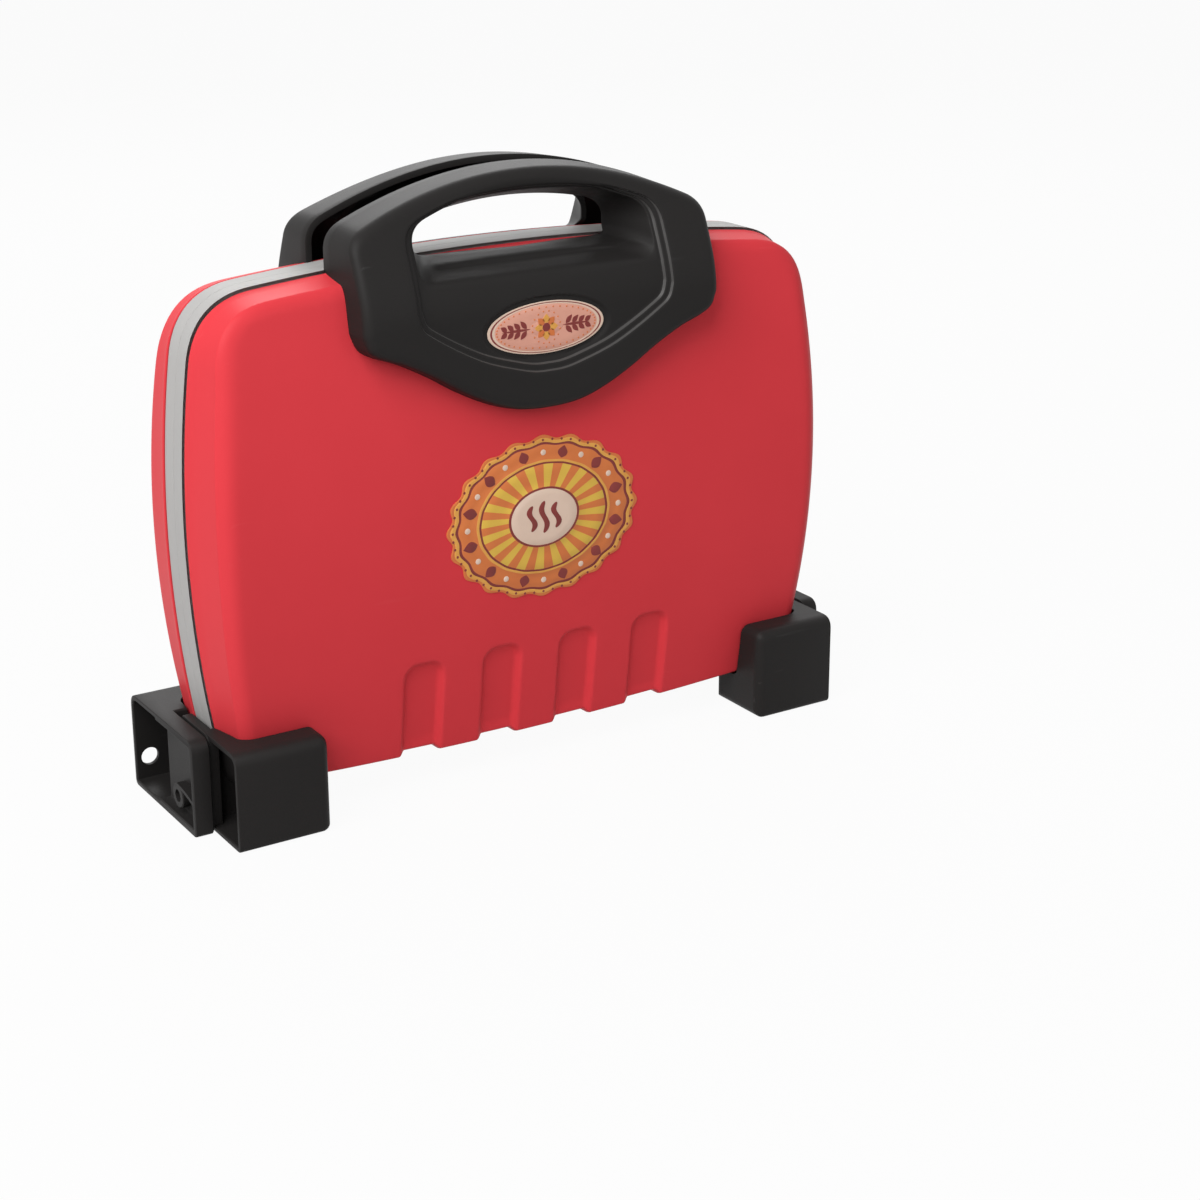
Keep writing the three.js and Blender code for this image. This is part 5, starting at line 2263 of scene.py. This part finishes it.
def build_label(handle: Handle, finishes: Finishes) -> None:
    """Builds the oval label of the handle, a plain ornament in pale pink and brown-red.

    Args:
        handle: The handle.
        finishes: The materials.
    """
    floor = handle.base_depth - handle.recess - handle.label_recess
    label = Print("handle_label_print", "handle_label", 24.3, 9.5,
                  handle.bottom + handle.label_rise, floor, finishes, segments=160)
    label.add_bands(
        Band(1.0, 0.36, (Ink.CREAM,)),
        Band(0.955, 0.40, (Ink.BROWN_RED,)),
        Band(0.925, 0.36, (Ink.CREAM,)),
        Band(0.88, 0.38, (Ink.BLUSH,)),
        Band(0.30, 0.38, (Ink.BLUSH,)),
    )
    petals, petal_start, petal_end = 8, 1.3, 4.9
    for k in range(petals):
        angle = k / petals * 2 * math.pi
        way = np.array([math.cos(angle), math.sin(angle)])
        ink = Ink.ORANGE if k % 2 else Ink.GOLD
        label.inlay(leaf(way * petal_start, way * petal_end, 1.35), 0.46, ink)
    label.inlay(oval(1.6, 1.6, 24), 0.52, Ink.BROWN_RED)
    for side in (-1, 1):
        label.inlay(leaf((side * 6.6, 0.0), (side * 18.6, 0.0), 0.5), 0.44, Ink.BROWN_RED)
        for k in range(4):
            u = 8.2 + 2.7 * k
            reach = 3.4 - 0.45 * k
            for up in (-1, 1):
                blade = leaf((side * u, up * 0.4), (side * (u + 2.6), up * reach), 0.95)
                label.inlay(blade, 0.46, Ink.BROWN_RED)
    label.finish()
    dots = np.vstack([oval(20.6, 7.3, 44), oval(5.9, 5.9, 16, start=0.2)])
    label.beads("handle_label_dots", dots, 0.38, 0.33, Ink.ORANGE)


# Studio


@dataclass
class Studio:
    """The floor, the soft lights and the camera."""

    camera_place: tuple[float, float, float] = (-0.4161, -0.7214, 0.3566)
    yaw: float = 32.86
    pitch: float = 17.78
    lens: float = 68.84
    shift: tuple[float, float] = (-0.0107, -0.0663)
    floor_half: float = 30.0
    room_light: float = 0.24  # strength of the even light, which the camera sees as white

    def build(self) -> None:
        """Builds the whole studio."""
        bpy.context.scene.view_settings.view_transform = "Standard"
        self.build_camera()
        self.build_floor()
        self.build_lights()

    def build_camera(self) -> None:
        """Sets the camera to the photograph's viewing angle."""
        data = bpy.data.cameras.new("camera")
        data.lens = self.lens
        data.sensor_width = 36.0
        data.shift_x, data.shift_y = self.shift
        camera = place_object("camera", data)
        yaw, pitch = math.radians(self.yaw), math.radians(self.pitch)
        ahead = Vector((
            math.sin(yaw) * math.cos(pitch), math.cos(yaw) * math.cos(pitch), -math.sin(pitch)))
        camera.location = self.camera_place
        camera.rotation_euler = ahead.to_track_quat("-Z", "Y").to_euler()
        bpy.context.scene.camera = camera

    def build_floor(self) -> None:
        """Lays a pale floor that the camera sees as white but for the soft shadow."""
        edge = self.floor_half
        mesh = bpy.data.meshes.new("studio_floor")
        corners = [(-edge, -edge, 0), (edge, -edge, 0), (edge, edge, 0), (-edge, edge, 0)]
        mesh.from_pydata(corners, [], [(0, 1, 2, 3)])
        material = bpy.data.materials.new("pale_floor")
        material.use_nodes = True
        made = Tree(material.node_tree)
        shader = material.node_tree.nodes["Principled BSDF"]
        made.feed(shader, {
            "Base Color": (0.5, 0.5, 0.5, 1.0), "Roughness": 0.9, "Specular IOR Level": 0.1})
        glow = made.add("ShaderNodeEmission", inputs={"Color": (1.0, 1.0, 1.0, 1.0)})
        blend = made.add(
            "ShaderNodeMixShader", inputs={0: self._seen(made, 0.95), 1: shader, 2: glow})
        made.feed(material.node_tree.nodes["Material Output"], {"Surface": blend})
        make_object(mesh, material)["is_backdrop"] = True

    @staticmethod
    def _seen(made: Tree, strength: float) -> Node:
        """Adds a strength that holds for camera, mirror and glass rays only.

        Args:
            made: The tree.
            strength: The strength.

        Returns:
            The node that gives it.
        """
        path = made.add("ShaderNodeLightPath")
        seen = made.math("MAXIMUM", path.outputs["Is Camera Ray"], path.outputs["Is Glossy Ray"])
        seen = made.math("MAXIMUM", seen, path.outputs["Is Transmission Ray"])
        return made.math("MULTIPLY", seen, strength)

    def build_lights(self) -> None:
        """Hangs the soft lights and sets the even light of the room."""
        world = bpy.data.worlds.new("studio_world")
        bpy.context.scene.world = world
        world.use_nodes = True
        made = Tree(world.node_tree)
        made.feed(world.node_tree.nodes["Background"], {
            "Strength": made.remap(self._seen(made, 1.0), 0.0, 1.0, self.room_light),
            "Color": (1.0, 1.0, 1.0, 1.0),
        })
        self._area("key_light", (-1.02, -0.55, 1.18), 1.3, 31.5)
        self._area("front_light", (0.25, -1.5, 0.75), 1.2, 3.5)
        self._area("back_light", (0.5, 1.2, 1.1), 1.0, 12.0)

    @staticmethod
    def _area(name: str, place: tuple[float, float, float], size: float, power: float) -> None:
        """Hangs a square lamp that points at the case.

        Args:
            name: Name of the lamp.
            place: Where it hangs, in metres.
            size: Its edge.
            power: Its power in watts.
        """
        data = bpy.data.lights.new(name, "AREA")
        data.size = size
        data.energy = power
        lamp = place_object(name, data)
        lamp.location = place
        ahead = Vector((0, 0, 0.1)) - Vector(place)
        lamp.rotation_euler = ahead.to_track_quat("-Z", "Y").to_euler()


def write_sizes() -> None:
    """Works out the CAD model's box and the visual model's box."""
    boxes = {"cad": CAD_BOX, "visual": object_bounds()}
    plain = {name: [[float(v) for v in corner] for corner in box] for name, box in boxes.items()}


def main() -> None:
    """Builds the case, dresses what stays of the frame, and sets the studio."""
    logging.basicConfig(level=logging.INFO, format="%(name)s: %(message)s")
    finishes = Finishes()
    case = Case()
    grid = case.grid()
    for half in Half:
        wall = WALLS[half]
        shell = Shell(case, grid, wall)
        shell.build(half, finishes)
        Tray(case, grid).build(half, finishes)
        Handle(case).build(half, Rest(shell), finishes)
        TrayScrews(case).build(half, finishes)
        Feet(Shell(case, coarse_grid(case), wall)).build(half, finishes)
    Feet(shell).build_pins(finishes)
    build_badge(case, finishes)
    build_label(Handle(case), finishes)
    by_slot = {
        "red_plastic": finishes.red,
        "grey_plastic": finishes.grey,
        "black_plastic": finishes.black,
        "steel": finishes.steel,
        "printed_film": finishes.inks[Ink.GOLD],
    }
    for subpart in frame["record"]["subparts"]:
        node = frame["nodes"][subpart["node"]]
        node.data.materials.clear()
        node.data.materials.append(by_slot[subpart["material_slot"]])
    Studio().build()
    write_sizes()


if __name__ == "__main__":
    main()
